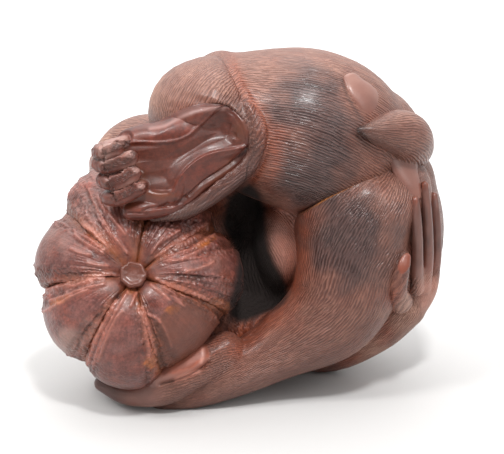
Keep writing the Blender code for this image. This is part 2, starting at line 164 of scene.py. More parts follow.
FINGER_FACING = (0.7, -0.7, 0)
RUMP_FINGERS = [
    [(38.8, -7, 24.5, 3), (37.3, -12.4, 28.8, 2.6), (37.6, -14.3, 32.6, 2.3), (38.2, -14.1, 35.8, 2),
     (38.8, -13.2, 38.2, 1.5)],
    [(42.8, -3.9, 26.8, 2), (42.5, -8, 34.5, 1.55), (42.2, -9.8, 41.6, 1.35), (41.7, -10.4, 47.6, 1.2),
     (41.4, -9.9, 51.3, 0.9)],
    [(44.9, -1.5, 26, 1.9), (45.4, -4.9, 34.4, 1.4), (45, -6.9, 41.8, 1.3), (44.4, -7.5, 48.6, 1.2),
     (43.9, -6.5, 54, 0.95)],
    [(47, 1.2, 25.5, 1.7), (47.9, -0.6, 33.8, 1.3), (47.6, -2.4, 40.7, 1.25), (47.1, -2.2, 46, 1.15),
     (46.8, -1, 49.6, 0.95)],
    [(47.6, 5.8, 27, 1.6), (48.5, 4.8, 33, 1.3), (48.7, 3.8, 36.7, 1.3), (48.4, 2.8, 40, 1)],
]
RUMP_PALM = [(40, 3, 20, 6.5, 5.5), (43.2, 1.7, 27, 5.6, 3)]
RUMP_PALM_FACING = (0.6, -0.8, 0)
HAND_BACK = [(38, 4, 19, 7.4), (42.8, 4, 24.5, 6.3), (45.4, 3.2, 29.5, 4.2), (45.6, 2, 33, 2.6)]
PUMPKIN_FINGERS = [
    [(-36, 6.5, 24.5 + 2.4 * k, 2), (-41, 3.4, 25.3 + 2.9 * k, 1.8), (-44.4, -0.4, 26.5 + 3.1 * k, 1.4)]
    for k in (-1, 0, 1, 2)
]
PUMPKIN_PALM = [(-33, 15, 28, 5, 4), (-37, 7.5, 26.5, 5.5, 3.2)]
PUMPKIN_PALM_FACING = (-0.8, 0.4, 0)
UPPER_ARM_FACING = (0, 0.3, 1)

HEAD_CENTRE = (-22.8, 14, 50.5)
HEAD_RADIUS = 15.2
HEAD_FORWARD = (-0.72, 0.68, -0.1)
HEAD_UP = (-0.1, 0.1, 0.99)
HEAD_BALLS = [
    ((0, 0, 0), (1, 1, 1)),
    ((0, 0.62, -0.2), (0.6, 0.42, 0.62)),
    ((0, 0.86, -0.46), (0.42, 0.36, 0.3)),
    ((0, 0.74, -0.68), (0.32, 0.3, 0.2)),
    ((0.27, 0.93, 0.05), (0.14, 0.12, 0.11)),
    ((-0.27, 0.93, 0.05), (0.14, 0.12, 0.11)),
    ((0, 1.16, -0.26), (0.13, 0.1, 0.08)),
]
HEAD_ROLLS = [
    [(-0.56, 0.78, 0.1, 0.06), (-0.3, 0.98, 0.24, 0.09), (0, 1.02, 0.2, 0.08), (0.3, 0.98, 0.24, 0.09),
     (0.56, 0.78, 0.1, 0.06)],
    [(0, 1.0, 0.18, 0.09), (0, 1.06, -0.05, 0.08), (0, 1.14, -0.22, 0.09)],
]
EAR = [(1.0, -0.02, 0.28, 0.1), (1.12, -0.16, 0.2, 0.09), (1.14, -0.2, -0.02, 0.08),
       (1.04, -0.06, -0.22, 0.08)]

PUMPKIN_CENTRE = (-24.4, -10.5, 29.9)
PUMPKIN_AXIS = (-0.03, -0.87, 0.49)
PUMPKIN_RADIUS = 25.2
PUMPKIN_HALF_DEPTH = 18
PUMPKIN_GROOVE_TURNS = (36, 78, 135, 183, 236, 284, 342)
PUMPKIN_LOBE_REACH = (1, 1.22, 1.04, 0.97, 1, 0.83, 1)
PUMPKIN_GROOVE_DEPTHS = (0.17, 0.17, 0.06, 0.17, 0.17, 0.17, 0.17)
PUMPKIN_GROOVE_START = 0.15
PUMPKIN_FACE_DEPTH = 0.7
PUMPKIN_DIMPLE = 0.25
PUMPKIN_DIMPLE_WIDTH = 0.25
PLAIN_FACES = (0, 0.2, 0.8, 0.9, 1, 1, 0.3)
WARTS = 190
WART_RADIUS = 0.42
STEM_RINGS = [(0.9, -0.4), (1.7, -0.3), (2.2, 0), (2.6, 0.1), (2.95, -0.1), (3.15, -0.6), (3.1, -6)]
STEM_SIDES = 96
STEM_CORNERS = 7
STEM_CORNER_REACH = 0.035
STEM_REACH = 0.9

# Lines that the fur follows where several masses have run into one, and the locks' height.

THIGH_FLOW = [(46, 8, 36, 16), (41, 8, 47, 17), (30, 8, 55, 18), (17.5, 2.5, 64.5, 20), (5, 4, 66.5, 18.3),
              (-3.5, 8, 67, 15)]
COMB_SPACING = 0.56
LOCK_HEIGHT = 0.04
BACK_FLOW = [(38, 18, 28, 17), (22, 22, 34, 21), (6, 24, 30, 20), (-8, 22, 33, 19), (-12, 18, 46, 13)]
SHIN_FLOW = [(-16, -6, 50, 12), (-12, -3, 60, 12.5), (-8, 1, 69, 12.5), (0, 6, 78, 12)]
LEG_FLOW = [(43, 3, 64, 14), (36, -1, 50, 15), (29, -4, 38.5, 15), (22.5, -7, 22.5, 12),
            (9, -10, 13.6, 8.2), (-1.4, -12, 8.6, 6.6), (-11.4, -13, 4.6, 5.1), (-19.7, -13, 2.2, 3.7)]
ARM_FLOW = LOWER_ARM + [(44, 2, 28, 6)]
PATCH_FLOW = [(39, 0, 60, 15), (28, 0, 41, 15), (20, 0, 27, 15)]
PATCH_FLOW_PLACE = ((342, 214), (66, 46), -30)
BELLY_FLOW = [(3, 3, 47, 9), (9, 3, 36, 9), (13, 3, 26, 9)]
HEAD_FLOW = [(-30, 21, 49, 12), (-22.8, 14, 50.5, 15.2), (-12, 4, 52, 13)]

# Lines on the upper sole, in the picture's pixels.

SKIN_EDGE = [
    (104, 132), (118, 130), (130, 128), (150, 125), (165, 121), (180, 114), (195, 108), (210, 105),
    (224, 105), (233, 110), (242, 119), (247, 130), (249, 140), (246, 155), (237, 168), (222, 180),
    (205, 192), (188, 203), (170, 214), (150, 219), (126, 219), (112, 210), (90, 175), (88, 140),
]
OUTER_CREST = [(105, 134), (118, 132), (130, 130), (150, 127), (165, 124), (180, 116), (195, 110),
               (210, 107.5), (224, 107)]
# A painted highlight runs along this line, just below the outer crest.
CREST_GLEAM = [(x, y + 1.5) for x, y in OUTER_CREST[3:]]
SECOND_CREST = [(130, 143), (145, 142.5), (160, 143), (175, 141), (188, 136), (196, 129), (205, 120.5),
                (212, 114), (219, 109)]
INNER_CREST = [(173, 192), (177, 183), (183, 173), (192, 164), (205, 155.5), (219, 151.5), (232, 149.5),
               (245, 146)]
INNER_GROOVE = [(180, 201), (190, 196), (203, 184), (219, 174), (236, 162), (247, 149)]
HOLLOW = [
    (130, 143), (145, 142.5), (160, 143), (175, 141), (188, 136), (196, 129), (205, 120.5), (212, 114),
    (219, 109), (226, 108), (235, 113), (242, 123), (246, 134), (246, 145), (232, 149.5), (219, 151.5),
    (205, 155.5), (192, 164), (183, 173), (177, 183), (173, 191), (160, 192), (147, 191), (134, 192),
    (122, 180), (114, 160), (118, 146),
]
TOE_CREASES = [
    [(104, 148), (108, 146.5), (112, 145), (114.5, 142), (119, 141.5), (124, 141)],
    [(106, 163), (111, 161), (115, 160), (119, 157.5), (125, 157.5), (129, 154)],
    [(110, 180), (116, 177), (122, 175), (126, 171), (131, 169.5), (135, 167)],
    [(116, 194), (122, 191), (128, 188), (132, 185), (136, 184.5), (140, 184)],
]
TOE_FACE = 6.5
TOE_TIPS = [(middle, (5, 3.5), 0) for middle in ((121.5, 142), (128.5, 155), (136, 170), (141, 186))]
TOE_KNUCKLES = [
    [(103, 139), (101, 148), (103, 155)],
    [(104, 158), (103, 166), (106, 171)],
    [(108, 174), (107, 182), (110, 189)],
    [(113, 189), (113, 197), (116, 203)],
]
BIG_TOE_LINES = [
    [(143, 211), (151, 208), (160, 207), (168, 204)],
    [(127, 213), (136, 213.5), (146, 214)],
    [(160, 206), (170, 206.5), (179, 203), (187, 199)],
    [(147, 190), (158, 193), (168, 193)],
]
KNOB = ((176, 197), 4.2)
RIM_SPOKES = 70
FOOT_MIDDLE = (190, 160)

# Ridges on the pumpkin's lobes, which also carry painted highlights, and its places of painted light, darker
# places and amber places, in the picture's pixels.

PUMPKIN_RIDGES = [
    [(83, 224), (89, 228), (95, 232), (99, 237), (105, 243), (108, 249)],
    [(86, 238), (92, 242), (99, 248), (103, 253)],
    [(74, 230), (78, 238), (85, 243), (92, 247), (98, 251)],
    [(71, 249), (80, 253), (90, 255)],
    [(88, 263), (97, 265), (107, 266)],
    [(90, 190), (95, 204), (99, 212), (105, 223), (112, 235), (121, 245), (127, 253)],
    [(99, 198), (105, 209), (114, 220), (121, 229), (125, 234)],
    [(51, 281), (73, 279), (92, 276), (107, 274), (120, 276)],
    [(47, 291), (64, 287), (78, 285), (93, 280), (104, 279)],
    [(50, 301), (66, 296), (81, 290), (96, 286), (104, 284)],
    [(44, 312), (61, 303), (70, 297), (88, 290)],
    [(94, 365), (100, 347), (106, 331), (117, 310), (128, 292)],
    [(98, 361), (103, 349), (109, 333), (115, 320), (122, 312)],
    [(88, 365), (96, 342), (105, 324), (117, 301)],
    [(138, 310), (144, 324), (147, 342), (149, 359)],
    [(131, 306), (134, 298), (137, 292)],
    [(151, 285), (157, 290), (165, 296), (169, 300)],
    [(163, 289), (172, 293), (175, 298), (184, 306)],
    [(143, 308), (148, 324), (152, 339), (156, 355)],
    [(147, 314), (159, 320), (167, 334), (171, 346)],
    [(168, 261), (179, 260), (187, 257), (194, 254), (199, 251)],
    [(167, 258), (179, 253), (191, 249), (201, 242), (214, 235)],
    [(187, 271), (198, 269), (208, 265), (213, 262)],
    [(156, 279), (169, 284), (191, 291), (208, 298)],
    [(152, 253), (160, 242), (174, 234), (179, 230)],
    [(156, 257), (169, 246), (184, 237), (198, 228), (204, 225)],
    [(160, 255), (172, 249), (186, 243), (198, 236), (208, 230)],
]
AMBER_PLACES = [((172, 310), (9, 6), 0), ((205, 242), (16, 5), 30), ((131, 288), (9, 6), 60),
                ((224, 305), (16, 6), -25), ((150, 363), (9, 7), 0), ((60, 300), (14, 5), 25)]
# Where light is painted on the lower right lobe.
LIGHT_LOBE = ((186, 330), (40, 34), 20)
DARK_LOBES = [((58, 250), (36, 62), 0), ((170, 230), (44, 32), 30)]

# The smooth toe below the pumpkin and its painted highlights, the leg's edge, painted light on the belly and
# the hand, the hand and the pads, and painted shade at a pad's edge and in the thumb's hollow, in the
# picture's pixels.

SMOOTH_TOE = [(146, 384), (158, 369), (170, 361), (186, 351), (203, 343), (210, 353), (208, 363),
              (198, 370), (186, 376), (172, 381), (156, 387)]
TOE_FURROW = [(209, 362), (199, 370), (187, 376), (173, 381), (160, 384)]
# Painted highlights on the smooth toe.
TOE_GLEAMS = [[(203, 349), (203, 356), (201, 362)], [(176, 379), (186, 375), (199, 371)]]
LEG_EDGE = [(299, 215), (312, 208), (330, 197), (352, 186), (372, 174), (386, 167)]
EDGE_AMBER = [(328, 198), (352, 186)]
DARK_LEG = ((350, 318), (90, 66), 35)
# Where light is painted on the belly.
LIGHT_BELLY = ((287, 243), (20, 48), 0)
# Where shade is painted in the groove at the upper pad's left edge.
PATCH_EDGE = [(342, 79), (346, 93), (354, 108), (361, 120)]
# Where light is painted on the back of the hand.
LIGHT_HAND = ((434, 296), (22, 26), 0)
FINGER_TIPS = [((415, 197), (5, 11), 0), ((425, 183), (5, 9), 0), ((434, 194), (5, 8), 0)]
THUMB_NAIL = ((404.5, 263.5), (6, 11.5), -20)
# Where shade is painted in the hollow beside the thumb.
THUMB_HOLLOW = ((410, 282), (3.5, 9), 0)

# Places where the finish differs, in the picture's pixels: centre, half sizes, turn in degrees. The paler
# places carry dusting and painted light, and the opening carries painted shade.

WORN_PLACES = [((306, 100), (44, 44), -25), ((326, 146), (48, 46), -10), ((310, 178), (40, 44), 0),
               ((350, 238), (58, 62), 0)]
OCHRE_PLACES = [((275, 152), (20, 60), 0), ((190, 366), (34, 18), 30), ((235, 340), (40, 16), 35),
                ((222, 186), (50, 18), 41), ((243, 128), (11, 18), 0), ((160, 195), (24, 6), 0),
                ((288, 236), (22, 56), 0)]
# Paler places, where dusting and painted light are laid together.
DUSTY_PLACES = [((428, 292), (20, 26), 0), ((150, 92), (22, 30), 20), ((408, 318), (30, 38), -30),
                ((372, 352), (40, 16), 35), ((104, 140), (14, 60), 0), ((70, 342), (34, 22), 40)]
# The dark opening between the legs, which is painted with shade.
VOID = [(226, 196), (248, 180), (262, 192), (268, 215), (272, 250), (290, 285), (286, 305), (262, 318),
        (240, 325), (225, 312), (232, 280), (234, 255), (220, 225)]
SHIN_CREASE = [(227, 47), (234, 67), (245, 91), (258, 113), (264, 134), (265, 154), (258, 172), (247, 188)]
LEG_CREASE = [(308, 215), (303, 235), (298, 260), (292, 290), (275, 312), (255, 330), (238, 350)]
ARM_CREASE = [(393, 300), (392, 322), (380, 343), (355, 362), (330, 378), (300, 385)]

# Colours as they look on a screen. Fur has one for the strands and one for the gaps between them.

FUR_TINTS = [((128, 86, 74), (140, 94, 78)), ((84, 50, 42), (94, 54, 43))]
# Tints for worn, ochre and dusted fur. The dusted tints also carry painted light on tops and on the paler
# places.
FUR_MARK_TINTS = {
    "ochre": ((154, 80, 54), (98, 42, 26)),
    "dust": ((178, 136, 118), (118, 78, 62)),
    "worn": ((92, 68, 64), (48, 31, 29)),
}
PAD_TINTS = [(112, 74, 65), (132, 90, 79)]
PAD_MARK_TINTS = {"ochre": (150, 74, 50), "dust": (200, 160, 142)}
PORE_TINT = (60, 32, 26)
# Last tints on fur: amber, painted light, a darker tint that also carries painted shade in creases, and
# painted shade in recesses.
FUR_LAST_TINTS = {
    "amber": (196, 122, 62),
    "gleam": (206, 146, 130),
    "dark": (56, 38, 36),
    "deep": (30, 20, 17),
}
SOLE_TINTS = [(92, 39, 29), (142, 66, 49), (122, 70, 58)]
# Painted highlight colour on the sole's crests and toes.
SOLE_SHINE = (206, 164, 156)
SHELL_TINTS = [(94, 45, 38), (158, 85, 71), (142, 97, 92)]
# Painted highlight colour on the pumpkin's ridges and lit lobe.
SHELL_SHINE = (176, 110, 94)
SPECKLE_TINT = (60, 32, 28)
WRINKLE_TINT = (48, 26, 21)
AMBER_TINT = (150, 84, 44)
# First tints on bare skin: ochre, and the painted shade of toe faces, gaps, hollows and folds.
SKIN_FIRST_TINTS = {"ochre": (130, 70, 42), "cavity": (52, 28, 20)}
# Last tints on bare skin: a darker tint that also carries painted shade along the sole's edge, dusting with
# painted light, and painted shade in recesses.
SKIN_LAST_TINTS = {"dark": (70, 34, 28), "dust": (190, 158, 146), "deep": (30, 18, 16)}

# How the open sky is sampled: rays a point, their reach and start, and every how many points.

SKY_RAYS = 20
SKY_REACH = 22
SKY_LIFT = 0.6
SKY_STEPS = (24, 12)

# The studio: each light's place and size in metres and its power, and the floor's greys, near and far, which
# paint shade on the floor near the camera.

LIGHTS = {
    "key": ((-0.21, -0.18, 0.36), 0.09, 0.85),
    "wash": ((-0.55, 0, 0.5), 0.5, 0.6),
    "spark": ((0.04, -0.22, 0.38), 0.05, 1.15),
    "top": ((-0.02, 0.2, 0.45), 0.4, 0.9),
    "fill": ((0.3, -0.26, 0.3), 0.25, 0.4),
}
LIT_PLACE = (0, 0, 0.02)
SKY_SLOPE = (0, 0.55, 1)
SKY_RANGE = (-0.5, 1.15)
SKY_STRENGTHS = (0.15, 1.5)
FLOOR_GREYS = [(0.44, 0.43, 0.42, 1), (0.72, 0.72, 0.72, 1)]
FLOOR_RANGE = (-0.08, 0.12)
FLOOR_SIZE = 3


def spot(place):
    """A place on the figure, in hundredths of its length, as a point in metres."""
    return Vector(place[:3]) * UNIT


def share(value):
    return value * UNIT


def spline(values, steps=STEPS_PER_STATION):
    """Rows of numbers, made smooth by a Catmull-Rom curve through them."""
    rows = np.array(values, float)
    padded = np.vstack([2 * rows[0] - rows[1], rows, 2 * rows[-1] - rows[-2]])
    smooth = []
    for i in range(1, len(padded) - 2):
        a, b, c, d = padded[i - 1 : i + 3]
        for t in np.linspace(0, 1, steps, endpoint=False):
            bend = 2 * a - 5 * b + 4 * c - d
            smooth.append(0.5 * (2 * b + (c - a) * t + bend * t**2 + (3 * b - a - 3 * c + d) * t**3))
    smooth.append(rows[-1])
    return np.array(smooth)


def path_of(stations):
    """The middle line of a limb: points, directions along it and two half widths at each."""
    path = spline([s + s[3:4] if len(s) == 4 else s for s in map(tuple, stations)])
    centres = path[:, :3]
    tangents = np.gradient(centres, axis=0)
    tangents /= np.linalg.norm(tangents, axis=1)[:, None]
    return centres, tangents, path[:, 3:5]


def sections_of(stations):
    """Centres, tangents and radii along a limb, with a dome of rings at each end."""
    centres, tangents, radii = path_of(stations)
    domes = []
    for end, outward in ((0, -1), (-1, 1)):
        reach = min(radii[end])
        leans = [math.pi / 2 * (1 - (k + 0.35) / DOME_RINGS) for k in range(DOME_RINGS)]
        domes.append([
            (centres[end] + outward * tangents[end] * reach * math.sin(lean), tangents[end],
             radii[end] * math.cos(lean))
            for lean in leans
        ])
    return domes[0] + list(zip(centres, tangents, radii)) + domes[1][::-1]


def close_loops(bm, loops):
    """A closed skin over rings of points, with a flat face at each end."""
    for low, high in zip(loops, loops[1:]):
        for k in range(len(low)):
            bm.faces.new((low[k - 1], low[k], high[k], high[k - 1]))
    bm.faces.new(loops[0][::-1])
    bm.faces.new(loops[-1])
    bmesh.ops.recalc_face_normals(bm, faces=bm.faces)


def limb(stations, facing=(0, 0, 1)):
    """A tapered limb with round ends. Its half height is measured nearest to the facing direction."""
    bm = bmesh.new()
    loops = []
    for centre, tangent, (half_width, half_height) in sections_of(stations):
        along = Vector(tangent)
        side = along.cross(Vector(facing)).normalized()
        top = side.cross(along)
        loops.append([
            bm.verts.new(spot(centre) + side * share(half_width) * math.cos(turn)
                         + top * share(half_height) * math.sin(turn))
            for turn in (2 * math.pi * k / RING_SIDES for k in range(RING_SIDES))
        ])
    close_loops(bm, loops)
    return bm


def limbs(lines, facing=(0, 0, 1)):
    return [limb(line, facing) for line in lines]


def turned(forward, up):
    """A rotation whose Y axis runs along forward and whose Z axis is nearest to up."""
    y = Vector(forward).normalized()
    x = y.cross(Vector(up)).normalized()
    return Matrix((x, y, x.cross(y))).transposed().to_4x4()


def ellipsoid(centre, radii, forward=(0, 1, 0), up=(0, 0, 1)):
    bm = bmesh.new()
    bmesh.ops.create_uvsphere(bm, u_segments=40, v_segments=24, radius=1)
    size = Matrix.Diagonal((*[share(r) for r in radii], 1))
    bm.transform(Matrix.Translation(spot(centre)) @ turned(forward, up) @ size)
    return bm


def linked(name, data):
    """A new object in the scene."""
    obj = bpy.data.objects.new(name, data)
    bpy.context.scene.collection.objects.link(obj)
    return obj


def object_of(name, bms):
    """One object that holds all the given shapes, still overlapping."""
    mesh = bpy.data.meshes.new(name)
    whole = bmesh.new()
    for bm in bms:
        bm.to_mesh(mesh)
        bm.free()
        whole.from_mesh(mesh)
    whole.to_mesh(mesh)
    whole.free()
    return linked(name, mesh)


def rows_of(mesh, name="co"):
    """A mesh's points in metres, or its normals, as rows of x, y and z."""
    rows = np.empty(len(mesh.vertices) * 3)
    mesh.vertices.foreach_get(name, rows)
    return rows.reshape(-1, 3)


def set_points(mesh, rows):
    mesh.vertices.foreach_set("co", rows.ravel())
    mesh.update()


def melt(name, bms, grain, soften):
    """The shapes run together into one skin by a voxel remesh, then smoothed."""
    obj = object_of(name, bms)
    remesh = obj.modifiers.new("one skin", "REMESH")
    remesh.mode = "VOXEL"
    remesh.voxel_size = grain
    remesh.use_smooth_shade = True
    smooth = obj.modifiers.new("soften", "SMOOTH")
    smooth.factor = 0.5
    smooth.iterations = soften
    evaluated = obj.evaluated_get(bpy.context.evaluated_depsgraph_get())
    mesh = bpy.data.meshes.new_from_object(evaluated)
    obj.modifiers.clear()
    obj.data = mesh
    return obj


def melted(name, bms, soften=SOFTENING):
    """A soft form made of several shapes, ready to be run together with the rest."""
    obj = melt(name, bms, SOFT_GRAIN, soften)
    bm = bmesh.new()
    bm.from_mesh(obj.data)
    bpy.data.objects.remove(obj)
    return bm


def piece(name, bms, soften=2):
    quick, fine = VOXELS[name]
    return melt(name, bms, LENGTH / fine, soften)


def ease(values, low, high):
    t = np.clip((values - low) / (high - low), 0, 1)
    return t * t * (3 - 2 * t)


def bell(values, width):
    """1 where the values are 0, falling off to both sides."""
    return np.exp(-((values / width) ** 2))


def noise(points, seed=0):
    """Smooth random values, about -1 to 1, for rows of x, y and z."""
    cell = np.floor(points).astype(np.int64)
    part = points - cell
    fade = part * part * part * (part * (part * 6 - 15) + 10)
    total = np.zeros(len(points))
    for corner in itertools.product((0, 1), repeat=3):
        key = (cell + corner) @ np.array([374761393, 668265263, 2246822519]) + seed * 3266489917
        key = (key ^ (key >> 13)) * 1274126177 & 0x7FFFFFFF
        key = (key ^ (key >> 15)) * 2246822519 & 0x7FFFFFFF
        slopes = np.stack([key & 1023, (key >> 10) & 1023, (key >> 20) & 1023], axis=1) / 511.5 - 1
        weight = np.prod(np.where(corner, fade, 1 - fade), axis=1)
        total += weight * np.einsum("ij,ij->i", slopes, part - corner)
    return total * 1.6


def steps_past(line, points):
    """For each step of a line: how far along it each point lies, 0 to 1, the way from it, and the step."""
    for a, b in zip(line, line[1:]):
        t = np.clip((points - a) @ (b - a) / ((b - a) @ (b - a)), 0, 1)
        yield t, points - (a + t[:, None] * (b - a)), b - a


def nearest_on(line, points):
    """Distances from flat points to a line of points, negative above a line drawn to the right."""
    best = np.full(len(points), np.inf)
    signed = np.zeros(len(points))
    for _, off, step in steps_past(line, points):
        distance = np.hypot(off[:, 0], off[:, 1])
        closer = distance < best
        turn = step[0] * off[:, 1] - step[1] * off[:, 0]
        best = np.where(closer, distance, best)
        signed = np.where(closer, np.sign(turn) * distance, signed)
    return signed


def off_curve(line, points):
    """Distances from flat points to the smooth curve through a line, negative above it."""
    return nearest_on(spline(line, STEPS_PER_LINE), points)


def inside(outline, points):
    """How far flat points lie inside a closed outline, negative outside."""
    outline = spline(outline + outline[:1], STEPS_PER_LINE)
    odd = np.zeros(len(points), bool)
    for (ax, ay), (bx, by) in zip(outline, outline[1:]):
        if ay == by:
            continue
        crosses = (points[:, 1] > min(ay, by)) & (points[:, 1] <= max(ay, by))
        odd ^= crosses & (points[:, 0] < ax + (points[:, 1] - ay) * (bx - ax) / (by - ay))
    return np.abs(nearest_on(outline, points)) * np.where(odd, 1, -1)


def line_mark(line, points, width):
    """1 on a line drawn in the picture, falling off over its width."""
    return bell(off_curve(line, points), width)


def lines_mark(lines, points, width):
    return np.max([line_mark(line, points, width) for line in lines], axis=0)


def patch_mark(place, points, wobble=0):
    """How far points lie inside an oval drawn in the picture: 1 at its middle, 0 at its edge."""
    (cx, cy), (rx, ry), turn = place
    c, s = math.cos(math.radians(turn)), math.sin(math.radians(turn))
    x, y = points[:, 0] - cx, points[:, 1] - cy
    return 1 - np.hypot((x * c - y * s) / rx, (x * s + y * c) / ry) + wobble


def patches_mark(places, points, low, high, wobble=0):
    """1 in the middle of any of some ovals, easing off towards their edges."""
    return ease(np.max([patch_mark(place, points, wobble) for place in places], axis=0), low, high)


def pixels(places):
    """Where places on the figure show in the picture."""
    off = places - EYE
    depth = off @ AHEAD
    across = FOCAL * (off @ RIGHT) / depth
    down = FOCAL * (off @ UP) / depth
    return np.stack([PICTURE[0] / 2 + across, PICTURE[1] / 2 - down], axis=1)


def strand(stations):
    """A line that fur follows, with a pair of side directions carried along it without twisting."""
    centres, tangents, radii = path_of(stations)
    side = np.cross(tangents[0], (0.3, 1, 0.2))
    sides = []
    for tangent in tangents:
        side = side - tangent * (side @ tangent)
        side /= np.linalg.norm(side)
        sides.append(side)
    steps = np.linalg.norm(np.diff(centres, axis=0), axis=1)
    arc = np.concatenate([[0], np.cumsum(steps)])
    return centres, np.array(sides), np.cross(tangents, sides), arc, radii.mean(axis=1)


def combed(line, places):
    """Each place's height over a strand's round surface, and two offsets and the way along it."""
    centres, sides, tops, arc, radii = line
    best = np.full(len(places), np.inf)
    found = np.zeros(len(places))
    for k, (t, off, _) in enumerate(steps_past(centres, places)):
        distance = np.linalg.norm(off, axis=1)
        closer = distance < best
        best = np.where(closer, distance, best)
        found = np.where(closer, k + t, found)
    k = np.minimum(found.astype(int), len(centres) - 2)
    t = (found - k)[:, None]
    off = places - (centres[k] * (1 - t) + centres[k + 1] * t)
    side = sides[k] * (1 - t) + sides[k + 1] * t
    top = tops[k] * (1 - t) + tops[k + 1] * t
    radius = radii[k] * (1 - t[:, 0]) + radii[k + 1] * t[:, 0]
    way = arc[k] * (1 - t[:, 0]) + arc[k + 1] * t[:, 0]
    beyond = np.einsum("ij,ij->i", off, np.cross(side, top))
    widen = radii.mean() / radius
    place = np.stack([
        np.einsum("ij,ij->i", off, side) * widen,
        np.einsum("ij,ij->i", off, top) * widen,
        way + beyond,
    ], axis=1)
    return best - radius, place


def height_over(lines, places):
    """How far places lie over the nearest of some limbs, negative inside."""
    return np.min([combed(strand(line), places)[0] for line in lines], axis=0)


def wavy(place, seed):
    """Fur coordinates, bent a little so that the strands wander."""
    slow, quick = place * (0.16, 0.16, 0.1), place * (0.5, 0.5, 0.35)
    bent = place.copy()
    for axis in (0, 1):
        bent[:, axis] += 0.6 * noise(slow, seed + 2 * axis) + 0.12 * noise(quick, seed + 2 * axis + 1)
    return bent


class Skin:
    """A piece's points and normals in hundredths, where each shows in the picture, and its marks."""

    def __init__(self, obj):
        self.obj = obj
        self.mesh = obj.data
        count = len(self.mesh.vertices)
        self.carved, self.cavity, self.amber, self.gleam, self.dark, self.wrinkled = np.zeros((6, count))
        self.ring = np.zeros((count, 3))
        self.bare = np.ones(count)
        self.dusty = 1.0
        self.ochre = 0.0
        self.combs = []
        self.read()

    def read(self):
        self.places = rows_of(self.mesh) / UNIT
        self.normals = rows_of(self.mesh, "normal")
        self.seen = pixels(self.places)
        self.facing = self.normals @ np.array(TOWARD_VIEW)

    def move(self, offsets):
        """Moves each point by so many hundredths."""
        set_points(self.mesh, (self.places + offsets) * UNIT)
        self.read()

    def carve(self, height):
        """Moves the skin out by so many hundredths."""
        self.carved += np.maximum(-height, 0)
        self.move(self.normals * height[:, None])

    def push(self, depth):
        """Moves the skin straight away from the camera by so many hundredths."""
        self.move(AHEAD * depth[:, None])

    def comb(self, *layers):
        """Lays fur along one or two layers of lines, each place taking the nearest line."""
        self.bare = np.zeros(len(self.places))
        self.strands = []
        heights = []
        for number, lines in enumerate(layers):
            nearest = np.full(len(self.places), np.inf)
            chosen = np.zeros((len(self.places), 3))
            count = np.zeros(len(self.places))
            for stations in lines:
                line = strand(stations)
                height, place = combed(line, self.places)
                closer = height < nearest
                nearest = np.where(closer, height, nearest)
                chosen = np.where(closer[:, None], place, chosen)
                count = np.where(closer, round(2 * math.pi * line[4].mean() / COMB_SPACING), count)
            heights.append(nearest)
            self.strands.append(wavy(chosen, 10 * number))
            self.combs.append(count)
        self.mix = ease(heights[0] - heights[-1], -1.5, 1.5)

    def locks(self):
        """The relief of locks of fur, in hundredths, with none on the bare places."""
        heights = [noise(strands * (0.6, 0.6, 0.12), 40) for strands in self.strands]
        mixed = heights[0] * (1 - self.mix) + heights[-1] * self.mix
        return LOCK_HEIGHT * mixed * (1 - self.bare)

    def mark(self, **values):
        """Stores numbers or rows of three for the materials to read."""
        for name, rows in values.items():
            kind = ("FLOAT", "value") if rows.ndim == 1 else ("FLOAT_VECTOR", "vector")
            attribute = self.mesh.attributes.new(name, kind[0], "POINT")
            attribute.data.foreach_set(kind[1], rows.astype(np.float32).ravel())


def sole_relief(skin):
    """The upper sole: its crests, hollow, pad and grooves, in hundredths."""
    px = skin.seen
    outer, second, inner, groove = (
        off_curve(line, px) for line in (OUTER_CREST, SECOND_CREST, INNER_CREST, INNER_GROOVE)
    )
    hollow = inside(HOLLOW, px)
    across = np.clip(outer / np.maximum(outer - second, 1), -0.2, 1)
    roll = 1 - (np.where(across > 0.35, across - 0.35, 0.9 * (0.35 - across)) / 0.62) ** 2
    height = 1.35 * np.maximum(roll, 0) * (outer > -5) * (second < 0) * ease(px[:, 0], 104, 150)
    height += 0.45 * bell(second, 1.3) + 0.35 * bell(inner, 1.5)
    height -= 0.5 * ease(hollow, 0, 2) + 1.2 * ease(hollow, 1, 17)
    height -= 0.7 * ease(inner, 2, 12) * ease(-groove, -1.5, 0.5) * ease(px[:, 0], 178, 186)
    height += 0.25 * bell(groove - 4, 2.2) - 0.45 * bell(groove, 1.2)
    for line in BIG_TOE_LINES:
        height -= 0.45 * line_mark(line, px, 1.5)
    knob = np.hypot(*(px - KNOB[0]).T)
    return height + 0.6 * bell(knob, KNOB[1])


def toe_relief(skin):
    """The curled toes: a jagged ridge and a soft roll along each crease, and their knuckles."""
    jagged = 0.5 + 0.5 * noise(skin.places * 1.6, 12)
    height = np.zeros(len(skin.seen))
    for line in TOE_CREASES:
        below = off_curve(line, skin.seen)
        height += jagged * bell(below, 0.9) + 0.2 * np.exp(-np.abs(below) / 3)
    for line in TOE_KNUCKLES:
        height -= 0.6 * line_mark(line, skin.seen, 1.1)
    rough = noise(skin.places * 0.9, 7) * ease(-skin.seen[:, 0], -108, -99)
    return height * ease(skin.facing, 0.1, 0.4) + 0.3 * rough


def cut_back(obj, depth):
    """Takes away all of a piece that lies further back than a depth, and closes it."""
    bm = bmesh.new()
    bm.from_mesh(obj.data)
    everything = bm.verts[:] + bm.edges[:] + bm.faces[:]
    cut = bmesh.ops.bisect_plane(
        bm, geom=everything, plane_co=(0, share(depth), 0), plane_no=(0, 1, 0), clear_outer=True
    )
    rim = [e for e in cut["geom_cut"] if isinstance(e, bmesh.types.BMEdge)]
    bmesh.ops.holes_fill(bm, edges=rim, sides=0)
    bm.to_mesh(obj.data)
    bm.free()


